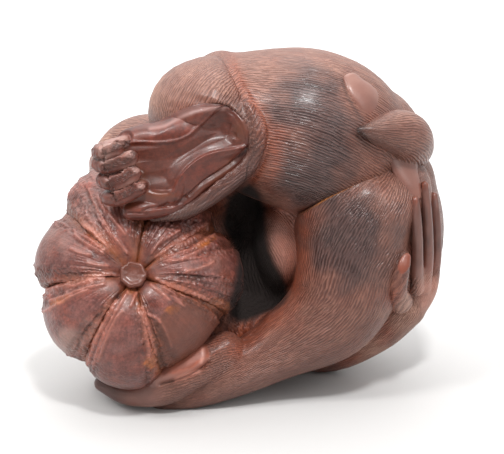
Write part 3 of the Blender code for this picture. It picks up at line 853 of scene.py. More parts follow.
def upper_foot():
    """The bare sole with its curled toes, held in the fur's piece."""
    shapes = limbs([UPPER_FOOT, UPPER_BIG_TOE], TOWARD_VIEW) + [limb(UPPER_SHIN)]
    shapes += limbs([[(x, y, z, r + TOE_GROWTH) for x, y, z, r in toe] for toe in UPPER_TOES], TOE_FACING)
    obj = piece("upper_foot", shapes)
    cut_back(obj, FOOT_BACK)
    skin = Skin(obj)
    curled = height_over(UPPER_TOES, skin.places)
    flat = ease(curled, 0.3, 0.9) * ease(skin.facing, 0.05, 0.35)
    skin.dusty = 0.1 * flat + 0.8 * (1 - flat)
    toes = np.minimum(curled, height_over([UPPER_BIG_TOE], skin.places))
    on_sole = ease(inside(SKIN_EDGE, skin.seen), -5, -2.5) * ease(skin.facing, -0.2, 0)
    shown = np.maximum(on_sole, ease(-toes, -0.6, 0))
    height = flat * sole_relief(skin) + (1 - flat) * toe_relief(skin)
    skin.carve(height * shown - 2 * (1 - shown))
    mark_foot(skin, flat)
    return skin


def mark_foot(skin, flat):
    """Painted shade on the toes' hatched faces, between the toes and in the sole's hollow, painted highlights
    on the crest and on the toes' upper strips and tips, ochre on the tips, and painted shade along the sole's
    edge.
    """
    px, curled = skin.seen, 1 - flat
    each = np.sort([height_over([toe], skin.places) for toe in UPPER_TOES], axis=0)
    gaps = ease(-each[1], -0.8, -0.2) * ease(-px[:, 0], -150, -140) * (skin.places[:, 1] < -16)
    creases = np.array([off_curve(line, px) for line in TOE_CREASES])
    faces = np.max(ease(creases, 0, 1.5) * ease(-creases, -TOE_FACE - 2, -TOE_FACE), axis=0)
    faces *= ease(-each[0], -1.2, -0.4) * ease(skin.facing, 0, 0.3) * ease(px[:, 0], 99, 103)
    below = np.min(np.abs(creases - TOE_FACE / 2), axis=0)
    skin.wrinkled = 0.9 * faces
    skin.ring = np.stack([below / 24, 0 * below, px[:, 0] / 50], axis=1)
    hatched = 0.75 + 0.35 * noise(skin.places * (3, 0.8, 0.8), 13)
    sunken = 0.35 * ease(inside(HOLLOW, px), 0, 5) + 0.55 * line_mark(INNER_GROOVE, px, 2)
    # Painted shade on the toes' lower faces, in the gaps between the toes and in the sole's hollow and inner
    # groove.
    skin.cavity = 0.85 * faces * hatched + 0.9 * gaps + flat * sunken
    # Painted highlights along the outer crest and on the toes' upper strips and tips.
    tops = np.max(bell(creases + 3, 2.2), axis=0)
    tips = patches_mark(TOE_TIPS, px, 0, 0.5) * curled
    ridges = 0.9 * flat * line_mark(CREST_GLEAM, px, 1.8) + 0.45 * curled * tops
    skin.gleam = np.maximum(ridges, 0.75 * tips)
    skin.ochre = 0.6 * np.maximum(tips, curled * tops * ease(px[:, 0], 108, 124))
    # Painted shade along the sole's edge, where it meets the fur.
    skin.dark = 0.35 * flat * ease(-inside(SKIN_EDGE, px), -7, -3)


def trunk():
    """The rolled-up body with its thigh, shin and the rolled rim of fur round the sole."""
    masses = [ellipsoid(*mass) for mass in (RUMP, HIP, CHEST, LAP)]
    soft = melted("trunk", limbs([TRUNK, UPPER_THIGH]) + masses)
    shapes = [soft, ellipsoid(*BELLY), limb(UPPER_SHIN)] + limbs([UPPER_FOOT, SOLE_RIM], TOWARD_VIEW)
    skin = Skin(piece("trunk_and_thigh", shapes))
    skin.comb([THIGH_FLOW, BELLY_FLOW, UPPER_FOOT], [BACK_FLOW, SHIN_FLOW])
    px, in_front = skin.seen, skin.places[:, 1] < -3
    within = inside(SKIN_EDGE, px)
    sunk = ease(within, 0.5, 3) * ease(skin.facing, -0.1, 0.1) * in_front
    beside = ease(skin.facing, -0.2, 0.2) * in_front * ease(px.sum(axis=1), 320, 350)
    skin.dusty = 1 - 0.8 * beside * (-within < 18)
    # Painted light on the belly.
    skin.gleam = 0.38 * patches_mark([LIGHT_BELLY], px, 0, 0.5) * ease(skin.facing, 0, 0.3)
    spokes = 0.5 + 0.5 * np.cos(RIM_SPOKES * np.arctan2(*(px - FOOT_MIDDLE).T))
    # Painted shade in the crease round the sole and in the groove at the upper pad's left edge, and a darker
    # rim of fur round the sole, darker towards the bottom.
    skin.dark = np.max([
        0.7 * beside * bell(within + 2, 2.5) * spokes,
        (0.45 + 0.25 * ease(px[:, 1], 130, 175)) * beside * ease(within, -20, -14),
        0.6 * line_mark(PATCH_EDGE, px, 1.6) * ease(skin.facing, 0, 0.3),
    ], axis=0)
    crease = off_curve(SHIN_CREASE, px)
    knee = ease(crease, -2, 3) * ease(-px[:, 1], -185, -150) * ease(skin.facing, -0.3, 0)
    skin.mix = np.maximum(skin.mix * (1 - ease(-crease, 0, 6) * ease(skin.facing, 0, 0.3)), knee)
    rise = 1.5 * bell(skin.places[:, 0] + 5.5, 5) * ease(skin.normals[:, 2], 0.3, 0.8)
    rise += 0.8 * ease(skin.places[:, 2], 48, 60) * ease(skin.normals[:, 0], 0.3, 0.9)
    fold = 0.35 * bell(crease, 2.2) * ease(skin.facing, 0, 0.3)
    skin.carve((skin.locks() + rise - fold) * (1 - sunk))
    skin.push(4.5 * sunk)
    return skin


def leg():
    """The lower leg, buttock and lower foot, with a crisp upper edge and one smooth toe."""
    masses = [limb(LOWER_LEG), ellipsoid(*BUTTOCK), limb(LEG_TOP, TOWARD_VIEW)]
    soft = melted("leg", masses, LEG_SOFTENING)
    skin = Skin(piece("lower_leg", [soft, limb(LOWER_FOOT, TOWARD_VIEW)], 3))
    skin.comb([LEG_FLOW], [PATCH_FLOW])
    skin.mix = patches_mark([PATCH_FLOW_PLACE], skin.seen, 0, 0.35) * ease(skin.facing, -0.2, 0.1)
    front = ease(skin.facing, -0.1, 0.2)
    toe = inside(SMOOTH_TOE, skin.seen)
    foot = height_over([LOWER_FOOT], skin.places)
    foot_skin = ease(-foot, -1.6, 0.2) * ease(-skin.places[:, 0], 16, 22)
    skin.bare = np.maximum(foot_skin, ease(toe, -1, 1) * front)
    toe_shape = (1.2 * ease(toe, -1, 7) - 1.1 * line_mark(TOE_FURROW, skin.seen, 1.6)) * front
    edge = off_curve(LEG_EDGE, skin.seen)
    near = ease(skin.facing, 0, 0.3) * ease(-np.abs(edge), -40, -20) * ease(skin.places[:, 0], 8, 12)
    lip = near * (0.35 * bell(edge - 2, 20**0.5) * (edge > -4) - 1.4 * ease(-edge, 1, 3))
    skin.amber = near * bell(edge, 0.9) * (0.3 + 0.7 * line_mark(EDGE_AMBER, skin.seen, 12))
    skin.carve(skin.locks() + lip + toe_shape)
    px = skin.seen
    skin.dark = 0.18 * patches_mark([DARK_LEG], px, 0, 0.5) * front
    # Painted shade on the lower toes, which lie in shade under the pumpkin.
    skin.dark += 0.65 * ease(-px[:, 0], -132, -112) * ease(px[:, 1], 368, 378)
    # Painted light on the smooth toe, and painted highlights along its edges.
    skin.gleam = front * np.maximum(0.15 * ease(toe, 0, 5), 0.9 * lines_mark(TOE_GLEAMS, px, 2))
    return skin


def tail():
    """The curled tail and the smooth pads beside it."""
    raised = np.array([*(PATCH_LIFT * v for v in PATCH_FACING), PATCH_GROWTH, 0])
    pads = [[tuple(np.array(station) + raised) for station in patch] for patch in TAIL_PATCHES]
    skin = Skin(piece("tail", [limb(TAIL)] + limbs(pads, PATCH_FACING)))
    skin.comb([TAIL])
    over = height_over([TAIL], skin.places)
    skin.dark = 0.3 * ease(-skin.seen[:, 0], -425, -372) * ease(-over, -0.6, 0)
    skin.bare = ease(over, 0.05, 0.6) * ease(skin.facing, -0.3, 0)
    skin.carve(skin.locks())
    return skin


def arm():
    """The arm under the body, with its hand on the rump."""
    shapes = limbs(RUMP_FINGERS, FINGER_FACING) + [limb(RUMP_PALM, RUMP_PALM_FACING)]
    skin = Skin(piece("lower_arm", shapes + limbs([HAND_BACK, LOWER_ARM])))
    skin.comb([ARM_FLOW])
    thumb = height_over(RUMP_FINGERS[:1], skin.places)
    nail = patches_mark([THUMB_NAIL], skin.seen, 0, 0.2) * ease(-thumb, -1.5, -0.7)
    nail *= ease(skin.facing, 0.2, 0.5)
    skin.bare = np.maximum(ease(skin.places[:, 2], 29, 33) * ease(thumb, 0.3, 1), nail)
    skin.carve(skin.locks() + 0.35 * nail)
    streaks = 0.75 + 0.5 * noise(skin.places * (1.6, 1.6, 0.12), 31)
    fingers = 0.6 * streaks * ease(skin.places[:, 2], 31, 37) * ease(skin.facing, -0.2, 0.2)
    # Painted shade in the hollow beside the thumb.
    hollow = 0.8 * patches_mark([THUMB_HOLLOW], skin.seen, 0, 0.5)
    skin.dark = np.max([fingers * (1 - nail) ** 2, hollow, 0.45 * nail], axis=0)
    tips = patches_mark(FINGER_TIPS, skin.seen, 0, 0.5) * (thumb > 1)
    skin.ochre = np.maximum(nail, 0.5 * tips)
    # Painted light on the back of the hand.
    skin.gleam = 0.5 * patches_mark([LIGHT_HAND], skin.seen, 0, 0.6)
    return skin


def head_and_arm():
    """The head with its face and ears, and the arm round it with its hand on the pumpkin."""
    frame = turned(HEAD_FORWARD, HEAD_UP).to_3x3()

    def place(share_of_radius):
        right, forward, up = share_of_radius
        return Vector(HEAD_CENTRE) + frame @ Vector((-right, forward, up)) * HEAD_RADIUS

    balls = [
        ellipsoid(place(centre), [r * HEAD_RADIUS for r in radii], HEAD_FORWARD, HEAD_UP)
        for centre, radii in HEAD_BALLS
    ]
    other_ear = [(-side, forward, up, radius) for side, forward, up, radius in EAR]
    rolls = [
        [(*place(row[:3]), row[3] * HEAD_RADIUS) for row in roll] for roll in HEAD_ROLLS + [EAR, other_ear]
    ]
    hand = limbs(PUMPKIN_FINGERS, FINGER_FACING) + [limb(PUMPKIN_PALM, PUMPKIN_PALM_FACING)]
    shapes = balls + limbs(rolls, HEAD_UP) + hand + [limb(UPPER_ARM, UPPER_ARM_FACING)]
    skin = Skin(piece("head_and_arm", shapes))
    skin.comb([HEAD_FLOW], [UPPER_ARM])
    face = (skin.places - HEAD_CENTRE) @ np.array(frame) / HEAD_RADIUS
    bare_face = ease(face[:, 1], 0.62, 0.7) * ease(-np.hypot(face[:, 0], face[:, 2] + 0.15), -0.95, -0.85)
    bare_hand = ease(-height_over(PUMPKIN_FINGERS, skin.places), -1, -0.2)
    skin.bare = np.maximum(bare_face, bare_hand)
    skin.carve(skin.locks())
    return skin


def lobe_profile(turn):
    """For turns about the pumpkin's axis: how far out of a groove each is, the lobe's reach there, the
    groove's depth, the lobe's number and the share of the way across it."""
    first = PUMPKIN_GROOVE_TURNS[0]
    turn = (turn - first) % 360 + first
    edges = np.array(PUMPKIN_GROOVE_TURNS + (first + 360,), float)
    lobe = np.clip(np.searchsorted(edges, turn, side="right") - 1, 0, len(PUMPKIN_LOBE_REACH) - 1)
    across = (turn - edges[lobe]) / (edges[lobe + 1] - edges[lobe])
    bulge = np.sqrt(np.clip(4 * across * (1 - across), 0, 1))
    reach = 1 + (np.array(PUMPKIN_LOBE_REACH)[lobe] - 1) * bulge
    depths = np.array(PUMPKIN_GROOVE_DEPTHS + PUMPKIN_GROOVE_DEPTHS[:1])
    return bulge, reach, depths[lobe] * (1 - across) + depths[lobe + 1] * across, lobe, across


def lookup(points):
    """Finds which of some points are nearest to a place."""
    kd = KDTree(len(points))
    for k, point in enumerate(points):
        kd.insert(point, k)
    kd.balance()
    return kd


def warts(places, where):
    """Small round bumps scattered over part of a skin."""
    random = np.random.default_rng(5)
    chosen = random.choice(len(places), WARTS, replace=False, p=where / where.sum())
    kd = lookup(places[chosen])
    return bell(np.array([kd.find(place)[2] for place in places]), WART_RADIUS)


def ball_mesh(name, around, rings):
    """A ball's mesh, with its points as turns about Z and the way from the top, crowded at both ends."""
    bm = bmesh.new()
    bmesh.ops.create_uvsphere(bm, u_segments=around, v_segments=rings, radius=1)
    mesh = bpy.data.meshes.new(name)
    bm.to_mesh(mesh)
    bm.free()
    mesh.polygons.foreach_set("use_smooth", [True] * len(mesh.polygons))
    x, y, z = rows_of(mesh).T
    tip = np.arccos(np.clip(z, -1, 1)) / math.pi
    return mesh, np.arctan2(y, x), math.pi * (0.6 * tip + 0.4 * tip**2.5)


def pumpkin():
    """The lobed pumpkin: a ball whose sections are lobes, dimpled at the stem."""
    mesh, turn, tip = ball_mesh("pumpkin", *PUMPKIN_MESH[1])
    x, y, z = np.cos(turn) * np.sin(tip), np.sin(turn) * np.sin(tip), np.cos(tip)
    flat = np.hypot(x, y)
    bulge, reach, cut, lobe, across = lobe_profile(np.degrees(np.arctan2(y, x)))
    groove = cut * (1 - bulge) * np.minimum(1, flat / PUMPKIN_GROOVE_START)
    spread = share(PUMPKIN_RADIUS) * (1 - groove) * reach
    dimple = PUMPKIN_DIMPLE * bell(flat, PUMPKIN_DIMPLE_WIDTH)
    depth = share(PUMPKIN_HALF_DEPTH) * (1 - dimple) * (1 - PUMPKIN_FACE_DEPTH * groove)
    shaped = np.stack([x * spread, y * spread, z * depth], axis=1)
    toward = Vector(PUMPKIN_AXIS).normalized()
    right = (Vector((1, 0, 0)) - toward * toward.x).normalized()
    frame = np.array([right, toward.cross(right), toward])
    set_points(mesh, shaped @ frame + np.array(spot(PUMPKIN_CENTRE)))
    skin = Skin(linked("pumpkin", mesh))
    edge = np.minimum(across, 1 - across)
    out = tip / (math.pi / 2)
    skin.ring = np.stack([np.cos(turn), np.sin(turn), out + lobe * 3.0], axis=1)
    wrinkle_pumpkin(skin, edge, edge * np.maximum(flat, 0.1), out, np.array(PLAIN_FACES)[lobe])
    return skin


def wrinkle_pumpkin(skin, edge, beside, out, plain):
    """The shell's folds, ridges and warts, and the marks on it. Edge is the share of a lobe's width from
    a groove, beside is the way from it, out is 0 at the stem and 1 at the rim, and plain lobes have
    fewer wrinkles."""
    wrinkled = ease(-edge, -0.3 - 0.2 * (1 - plain), -0.12 - 0.3 * (1 - plain)) * ease(out, 0.1, 0.3)
    wrinkled *= 1 - 0.35 * ease(out, 0.9, 1.3)
    folds = 1 - 2 * np.abs(noise(skin.ring * (8, 8, 1.6), 3))
    fine = noise(skin.ring * (26, 26, 4), 4)
    grain = noise(skin.places * 1.25, 9)
    front = ease(skin.facing, -0.1, 0.2)
    ridges = lines_mark(PUMPKIN_RIDGES, skin.seen, 1.7) * front
    height = wrinkled * (0.4 * folds + 0.3 * fine + 0.26 * grain - 0.24)
    height += 0.5 * ridges * (0.75 + 0.5 * noise(skin.places * 0.9, 6))
    height += 0.4 * bell(beside, 0.03) * ease(out, 0.15, 0.3)
    height += 0.14 * noise(skin.places * 0.22, 5) * ease(out, 0.2, 0.4)
    height += 0.34 * warts(skin.places, wrinkled * ease(out, 0.3, 0.5))
    skin.carve(height)
    # Painted shade in the low places of the folds and in a thin line along each groove.
    low = np.clip(0.35 - 1.1 * (height - 0.42 * ridges), 0, 1) * wrinkled
    skin.cavity = 0.95 * low * (1 - ridges) + 0.5 * bell(beside, 0.022) * ease(out, 0.05, 0.15)
    skin.wrinkled = np.maximum(wrinkled, 0.4 * ease(out, 0.15, 0.3))
    # Painted highlights on the ridges, and painted light on the lower right lobe.
    skin.gleam = np.maximum(ridges, 0.45 * front * patches_mark([LIGHT_LOBE], skin.seen, 0, 0.7))
    skin.dark = 0.3 * front * patches_mark(DARK_LOBES, skin.seen, 0, 0.5)
    amber = patches_mark(AMBER_PLACES, skin.seen, 0, 0.5, 0.2 * grain) * front
    skin.amber = np.maximum(amber, 0.5 * bell(beside, 0.06))


def stem():
    """The stump at the middle of the pumpkin's face: a low disc with a raised, seven-cornered rim."""
    bm = bmesh.new()
    turns = [2 * math.pi * k / STEM_SIDES for k in range(STEM_SIDES)]
    loops = []
    for radius, height in STEM_RINGS:
        reaches = [radius * (1 + STEM_CORNER_REACH * math.cos(STEM_CORNERS * turn)) for turn in turns]
        loops.append([
            bm.verts.new(spot((math.cos(turn) * reach, math.sin(turn) * reach, height)))
            for turn, reach in zip(turns, reaches)
        ])
    close_loops(bm, loops)
    toward = Vector(PUMPKIN_AXIS).normalized()
    place = Matrix.Translation(spot(Vector(PUMPKIN_CENTRE) + toward * PUMPKIN_HALF_DEPTH * STEM_REACH))
    bm.transform(place @ toward.to_track_quat("Z", "Y").to_matrix().to_4x4())
    skin = Skin(piece("pumpkin_stem", [bm]))
    skin.carve(0.05 * noise(skin.places * 1.2, 8))
    skin.dark[:] = 0.3
    skin.ochre = 0.5
    skin.dusty = 0
    return skin


def stand_piece(obj, material):
    """Stands the piece on the ground in the part's own place, and lets it stand for the solid."""
    mesh = obj.data
    points = rows_of(mesh) + PLACE * UNIT
    points[:, 2] = np.maximum(points[:, 2], 0)
    set_points(mesh, points)
    mesh.materials.clear()
    mesh.materials.append(material)
    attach(obj, "root")
    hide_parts(NODE)
    print(obj.name, len(mesh.polygons) * 2, "triangles")


def sky_rays():
    """Directions spread evenly over a dome about Z, more of them near its top."""
    golden = math.pi * (3 - math.sqrt(5))
    turns = golden * np.arange(SKY_RAYS)
    flat = np.sqrt((np.arange(SKY_RAYS) + 0.5) / SKY_RAYS)
    return np.stack([flat * np.cos(turns), flat * np.sin(turns), np.sqrt(1 - flat**2)], axis=1)


def open_sky(skins, solid):
    """How much of the sky each point sees past the whole carving, 0 to 1, smoothed between samples."""
    tree = BVHTree.FromPolygons(
        [v.co for v in solid.data.vertices], [tuple(p.vertices) for p in solid.data.polygons]
    )
    rays = sky_rays()
    step = SKY_STEPS[1]
    starts, values = [], []
    for skin in skins:
        normals = skin.normals[::step]
        lifts = SKY_LIFT + np.minimum(skin.carved[::step], 2)
        side = np.cross(normals, (0.31, 0.52, 0.8))
        side /= np.linalg.norm(side, axis=1)[:, None]
        begins = (skin.places[::step] + PLACE + normals * lifts[:, None]) * UNIT
        for start, *axes in zip(begins, side, np.cross(normals, side), normals):
            seen = [tree.ray_cast(start, ray, share(SKY_REACH))[0] is None for ray in rays @ np.array(axes)]
            starts.append(start)
            values.append(sum(seen) / SKY_RAYS)
    kd = lookup(starts)
    return [smoothed(skin, kd, values) for skin in skins]


def smoothed(skin, kd, values):
    """At each point of a skin, the mean of the nearest samples, the nearer the heavier."""
    begins = (skin.places + PLACE + skin.normals * SKY_LIFT) * UNIT
    means = np.empty(len(begins))
    for k, start in enumerate(begins):
        near = kd.find_n(start, 4)
        weights = [1 / (distance + 1e-4) for _, _, distance in near]
        means[k] = sum(w * values[i] for w, (_, i, _) in zip(weights, near)) / sum(weights)
    return means


class Tree:
    """A short way to write a material's nodes."""

    def __init__(self, name, specular):
        self.material = bpy.data.materials.new(name)
        self.material.use_nodes = True
        self.nodes = self.material.node_tree.nodes
        self.links = self.material.node_tree.links
        self.shader = self.nodes["Principled BSDF"]
        self.set("Specular IOR Level", specular)

    def add(self, kind, *inputs, **settings):
        """A node with its inputs set or joined in order. None leaves an input as it is."""
        node = self.nodes.new("ShaderNode" + kind)
        for name, value in settings.items():
            setattr(node, name, value)
        for socket, value in zip(node.inputs, inputs):
            self.join(socket, value)
        return node

    def join(self, socket, value):
        if isinstance(value, bpy.types.NodeSocket):
            self.links.new(value, socket)
        elif value is not None:
            socket.default_value = value

    def set(self, name, value):
        """Sets or joins one of the shader's own inputs."""
        self.join(self.shader.inputs[name], value)

    def math(self, operation, *values):
        return self.add("Math", *values, operation=operation).outputs[0]

    def attribute(self, name, output="Fac"):
        return self.add("Attribute", attribute_name=name).outputs[output]

    def noise(self, vector, scale, detail=1.0, roughness=0.5):
        """Soft random values. Three scales draw them out along an axis."""
        if isinstance(scale, tuple):
            vector = self.add("VectorMath", vector, scale, operation="MULTIPLY").outputs[0]
            scale = 1.0
        node = self.add("TexNoise", vector)
        for name, value in (("Scale", scale), ("Detail", detail), ("Roughness", roughness)):
            node.inputs[name].default_value = value
        return node.outputs["Fac"]

    def ramp(self, value, low, high, to_low=0.0, to_high=1.0):
        return self.add("MapRange", value, low, high, to_low, to_high).outputs[0]

    def mix(self, factor, a, b, kind="RGBA", slots=(6, 7), output=2):
        """Two colours mixed by a factor."""
        node = self.add("Mix", data_type=kind)
        for slot, value in zip(("Factor", *slots), (factor, a, b)):
            self.join(node.inputs[slot], value)
        return node.outputs[output]

    def blend(self, factor, a, b):
        """Two numbers mixed by a factor."""
        return self.mix(factor, a, b, "FLOAT", (2, 3), 0)

    def tint(self, surface, tints):
        """The surface tinted where each mark says so."""
        for mark, rgb in tints.items():
            surface = self.mix(self.attribute(mark), surface, colour(rgb))
        return surface

    def bump(self, height, distance, normal=None):
        node = self.add("Bump")
        node.inputs["Strength"].default_value = 1.0
        node.inputs["Distance"].default_value = distance
        self.join(node.inputs["Height"], height)
        self.join(node.inputs["Normal"], normal)
        return node.outputs[0]


def colour(rgb):
    """A colour given as it looks on a screen, 0 to 255."""
    parts = [c / 255 for c in rgb]
    return (*[c / 12.92 if c <= 0.04045 else ((c + 0.055) / 1.055) ** 2.4 for c in parts], 1.0)


def wood_grain(tree, place):
    """The wood itself: slow red and brown bands along the block, and fine dark pores."""
    bands = tree.noise(place, (120, 420, 420), 3.0, 0.55)
    return bands, tree.noise(place, (900, 5200, 5200), 2.0, 0.6)


def hairs(tree, vector, lines):
    """Fine strokes and coarse locks along fur coordinates, with so many comb lines round a limb."""
    parts = tree.add("SeparateXYZ", vector).outputs
    phase = tree.math("MULTIPLY", tree.math("ARCTAN2", parts[1], parts[0]), lines)
    phase = tree.math("MULTIPLY_ADD", tree.noise(vector, (0.4, 0.4, 0.14)), 7.0, phase)
    phase = tree.math("MULTIPLY_ADD", tree.noise(vector, (1.1, 1.1, 0.45), 0.0), 2.5, phase)
    comb = tree.ramp(tree.math("SINE", phase), -1.0, 1.0)
    short = tree.ramp(tree.noise(vector, (3.2, 3.2, 0.5)), 0.36, 0.64)
    strokes = tree.ramp(tree.blend(0.48, comb, short), 0.2, 0.8)
    return strokes, tree.ramp(tree.noise(vector, (1.0, 1.0, 0.2)), 0.36, 0.64)


def fur_wood():
    """Carved fur: light strokes over dark gaps, with smooth pads where it is bare, and painted light and
    painted shade where they are marked.
    """
    tree = Tree("furry wood", 0.42)
    bands, pores = wood_grain(tree, tree.add("TexCoord").outputs["Object"])
    layers = [hairs(tree, tree.attribute("fur_" + x, "Vector"), tree.attribute("comb_" + x)) for x in "ab"]
    fine, coarse = (tree.blend(tree.attribute("fur_mix"), a, b) for a, b in zip(*layers))
    ridge, trough = (tree.mix(bands, colour(a), colour(b)) for a, b in FUR_TINTS)
    ridge = tree.tint(ridge, {mark: tints[0] for mark, tints in FUR_MARK_TINTS.items()})
    trough = tree.tint(trough, {mark: tints[1] for mark, tints in FUR_MARK_TINTS.items()})
    fur = tree.mix(tree.blend(0.14, fine, coarse), trough, ridge)
    pads = tree.tint(tree.mix(bands, *map(colour, PAD_TINTS)), PAD_MARK_TINTS)
    surface = tree.mix(tree.attribute("bare"), fur, pads)
    surface = tree.mix(tree.ramp(pores, 0.62, 0.72, 0.0, 0.25), surface, colour(PORE_TINT))
    tree.set("Base Color", tree.tint(surface, FUR_LAST_TINTS))
    rough = 0.38
    for mark, value in (("worn", 0.27), ("dust", 0.6), ("bare", 0.36), ("deep", 0.85)):
        rough = tree.blend(tree.attribute(mark), rough, value)
    tree.set("Roughness", rough)
    tree.set("Coat Weight", tree.blend(tree.attribute("deep"), 0.15, 0.0))
    tree.set("Coat Roughness", 0.25)
    furry = tree.math("SUBTRACT", 1.0, tree.attribute("bare"))
    normal = tree.bump(tree.math("MULTIPLY", tree.blend(0.15, fine, coarse), furry), 0.00014)
    tree.set("Normal", tree.bump(pores, 0.000006, normal))
    return tree.material


def skin_wood(name, rough, coat, pits, tints, shine):
    """Bare skin: smooth, glossy and mottled, with a faint grain and wrinkles where they are marked, and
    painted highlights and painted shade where the marks say so.
    """
    tree = Tree(name, 0.38)
    place = tree.add("TexCoord").outputs["Object"]
    bands, pores = wood_grain(tree, place)
    mottle = tree.noise(place, 600, 4.0, 0.65)
    speckle = tree.noise(place, 3000, 2.0, 0.6)
    long = tree.ramp(tree.noise(tree.attribute("ring", "Vector"), (22, 22, 3)), 0.35, 0.65)
    dots = tree.ramp(tree.noise(place, 2300), 0.35, 0.65)
    wrinkles = tree.math("MULTIPLY", tree.blend(0.45, long, dots), tree.attribute("wrinkled"))
    surface = tree.mix(tree.ramp(mottle, 0.35, 0.65), *map(colour, tints[:2]))
    surface = tree.mix(tree.ramp(bands, 0.42, 0.62, 0.0, 0.5), surface, colour(tints[2]))
    surface = tree.mix(tree.ramp(speckle, 0.35, 0.7, 0.0, 0.5), surface, colour(SPECKLE_TINT))
    surface = tree.tint(surface, SKIN_FIRST_TINTS)
    surface = tree.mix(tree.ramp(wrinkles, 0.55, 0.1, 0.0, 0.4), surface, colour(WRINKLE_TINT))
    flecks = tree.math("MULTIPLY", tree.attribute("amber"), tree.ramp(mottle, 0.3, 0.6))
    surface = tree.mix(flecks, surface, colour(AMBER_TINT))
    # Painted light: a pale highlight colour where the highlight mark says so.
    surface = tree.mix(tree.math("MULTIPLY", tree.attribute("gleam"), 0.45), surface, colour(shine))
    tree.set("Base Color", tree.tint(surface, SKIN_LAST_TINTS))
    gloss = tree.ramp(mottle, 0.3, 0.7, rough, rough + 0.12)
    gloss = tree.blend(tree.attribute("dust"), gloss, 0.5)
    tree.set("Roughness", tree.blend(tree.attribute("deep"), gloss, 0.9))
    hidden = tree.math("MAXIMUM", tree.attribute("deep"), tree.attribute("cavity"))
    tree.set("Coat Weight", tree.blend(hidden, coat, 0.0))
    tree.set("Coat Roughness", 0.16)
    normal = None
    for height, distance in ((mottle, 0.00004), (wrinkles, 0.00016), (speckle, pits), (pores, 0.000008)):
        normal = tree.bump(height, distance, normal)
    tree.set("Normal", normal)
    return tree.material


def add_light(name, place, size, power):
    light = bpy.data.lights.new(name, "AREA")
    light.shape = "RECTANGLE"
    light.size = light.size_y = size
    light.energy = power
    obj = linked(name, light)
    obj.location = place
    obj.rotation_euler = (Vector(LIT_PLACE) - Vector(place)).to_track_quat("-Z", "Y").to_euler()


def sky_light():
    """Soft light from all round, stronger from above and behind."""
    world = bpy.data.worlds.new("studio")
    bpy.context.scene.world = world
    world.use_nodes = True
    nodes, links = world.node_tree.nodes, world.node_tree.links
    way = nodes.new("ShaderNodeTexCoord")
    slope = nodes.new("ShaderNodeVectorMath")
    slope.operation = "DOT_PRODUCT"
    slope.inputs[1].default_value = SKY_SLOPE
    rise = nodes.new("ShaderNodeMapRange")
    for socket, value in zip(list(rise.inputs)[1:5], SKY_RANGE + SKY_STRENGTHS):
        socket.default_value = value
    links.new(way.outputs["Generated"], slope.inputs[0])
    links.new(slope.outputs["Value"], rise.inputs[0])
    links.new(rise.outputs[0], nodes["Background"].inputs["Strength"])
    nodes["Background"].inputs["Color"].default_value = (1, 1, 1, 1)


def pale_floor():
    """A pale sheet with painted shade, a little darker near the camera."""
    bm = bmesh.new()
    bmesh.ops.create_grid(bm, x_segments=2, y_segments=2, size=FLOOR_SIZE)
    sheet = object_of("floor", [bm])
    tree = Tree("pale floor", 0.1)
    away = tree.add("SeparateXYZ", tree.add("TexCoord").outputs["Object"]).outputs["Y"]
    tree.set("Base Color", tree.mix(tree.ramp(away, *FLOOR_RANGE), *FLOOR_GREYS))
    tree.set("Roughness", 0.9)
    sheet.data.materials.append(tree.material)


def camera():
    data = bpy.data.cameras.new("camera")
    data.lens = LENS
    data.sensor_width = SENSOR
    data.clip_start = 0.01
    obj = linked("camera", data)
    obj.location = (EYE + PLACE) * UNIT
    obj.rotation_euler = (math.pi / 2 - ELEVATION, 0, 0)
    bpy.context.scene.camera = obj


def front_marks(skin):
    """Worn and ochre places, paler places of dusting and painted light, and painted shade over the dark
    opening, that show on the front, 0 to 1.
    """
    px, front = skin.seen, ease(skin.facing, -0.1, 0.25)
    wobble = 0.35 * noise(skin.places * 0.2, 21)
    worn = patches_mark(WORN_PLACES, px, -0.1, 0.65, wobble)
    dust = patches_mark(DUSTY_PLACES, px, 0, 0.8, wobble)
    ochre = np.max([
        0.75 * line_mark(SHIN_CREASE, px, 7) + 0.7 * line_mark(ARM_CREASE, px, 8),
        0.8 * line_mark(LEG_CREASE, px, 12),
        0.6 * patches_mark(OCHRE_PLACES, px, 0, 0.8, wobble),
    ], axis=0)
    # Painted shade over the dark opening between the legs, darkest inside its outline.
    depth = inside(VOID, px)
    void = 0.9 * ease(depth, -2, 7) + 0.1 * ease(depth, -12, 0)
    return worn * front, ochre * front, dust * front, void * front


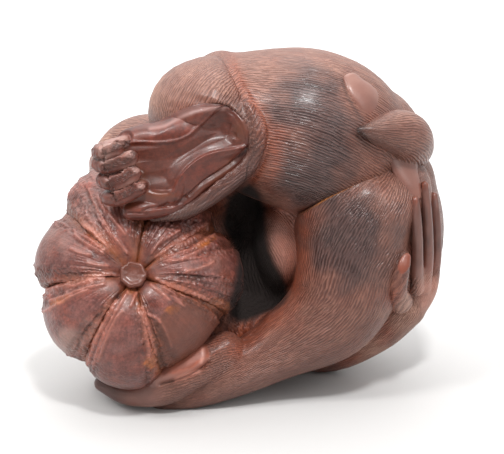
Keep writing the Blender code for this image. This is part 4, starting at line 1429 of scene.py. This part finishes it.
def finish(skin, sky):
    """Works out the marks of wear, dusting, stain, painted light and painted shade, and stores them all on
    the skin.
    """
    worn, ochre, dust, void = front_marks(skin)
    blotch = noise(skin.places * 0.12, 22)
    back = 1 - ease(skin.facing, -0.3, 0.1)
    broad = noise(skin.places * 0.055, 24) + 0.25 * blotch
    worn = np.maximum(worn, 0.75 * back * ease(broad, 0, 0.75))
    ochre += 0.5 * ease(-sky, -0.55, -0.25) + 0.18 * ease(blotch, 0.1, 0.6)
    ochre = np.clip(ochre, 0, 1) * (1 - 0.7 * worn)
    top = ease(skin.normals[:, 2], 0.25, 0.95)
    # Dusting together with painted light on the tops that see the sky.
    dust = np.clip(0.8 * dust + 0.3 * top * ease(sky, 0.7, 1) + 0.2 * noise(skin.places * 0.3, 23), 0, 1)
    dust *= (1 - worn) * (1 - np.clip(skin.cavity, 0, 1)) * skin.dusty * (1 - 0.6 * skin.bare)
    # Painted shade: darker where a point sees little of the sky, and over the dark opening between the legs.
    deep = np.maximum(0.35 * ease(-sky, -0.3, -0.02), void)
    skin.mark(worn=worn, ochre=np.clip(ochre + skin.ochre, 0, 1), dust=dust, deep=deep, bare=skin.bare)
    gleam, cavity, amber, dark = np.clip([skin.gleam, skin.cavity, skin.amber, skin.dark], 0, 1)
    skin.mark(gleam=gleam, cavity=cavity, amber=amber, dark=dark)
    if skin.wrinkled.any():
        skin.mark(wrinkled=skin.wrinkled, ring=skin.ring)
    if skin.combs:
        skin.mark(fur_a=skin.strands[0], comb_a=skin.combs[0])
        skin.mark(fur_b=skin.strands[-1], comb_b=skin.combs[-1], fur_mix=skin.mix)


def main():
    for obj in list(bpy.data.objects):
        bpy.data.objects.remove(obj)
    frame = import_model()
    camera()
    fur = fur_wood()
    sole = skin_wood("bare sole", 0.33, 0.12, 0.000012, SOLE_TINTS, SOLE_SHINE)
    shell = skin_wood("pumpkin shell", 0.29, 0.25, 0.00004, SHELL_TINTS, SHELL_SHINE)
    pieces = [(make(), fur) for make in (trunk, leg, tail, arm, head_and_arm)]
    pieces += [(upper_foot(), sole), (pumpkin(), shell), (stem(), shell)]
    skies = open_sky([skin for skin, _ in pieces], frame["nodes"][NODE])
    for (skin, material), seen in zip(pieces, skies):
        finish(skin, seen)
        stand_piece(skin.obj, material)
    bpy.context.scene.view_settings.view_transform = "Standard"
    sky_light()
    for name, light in LIGHTS.items():
        add_light(name, *light)
    pale_floor()


main()
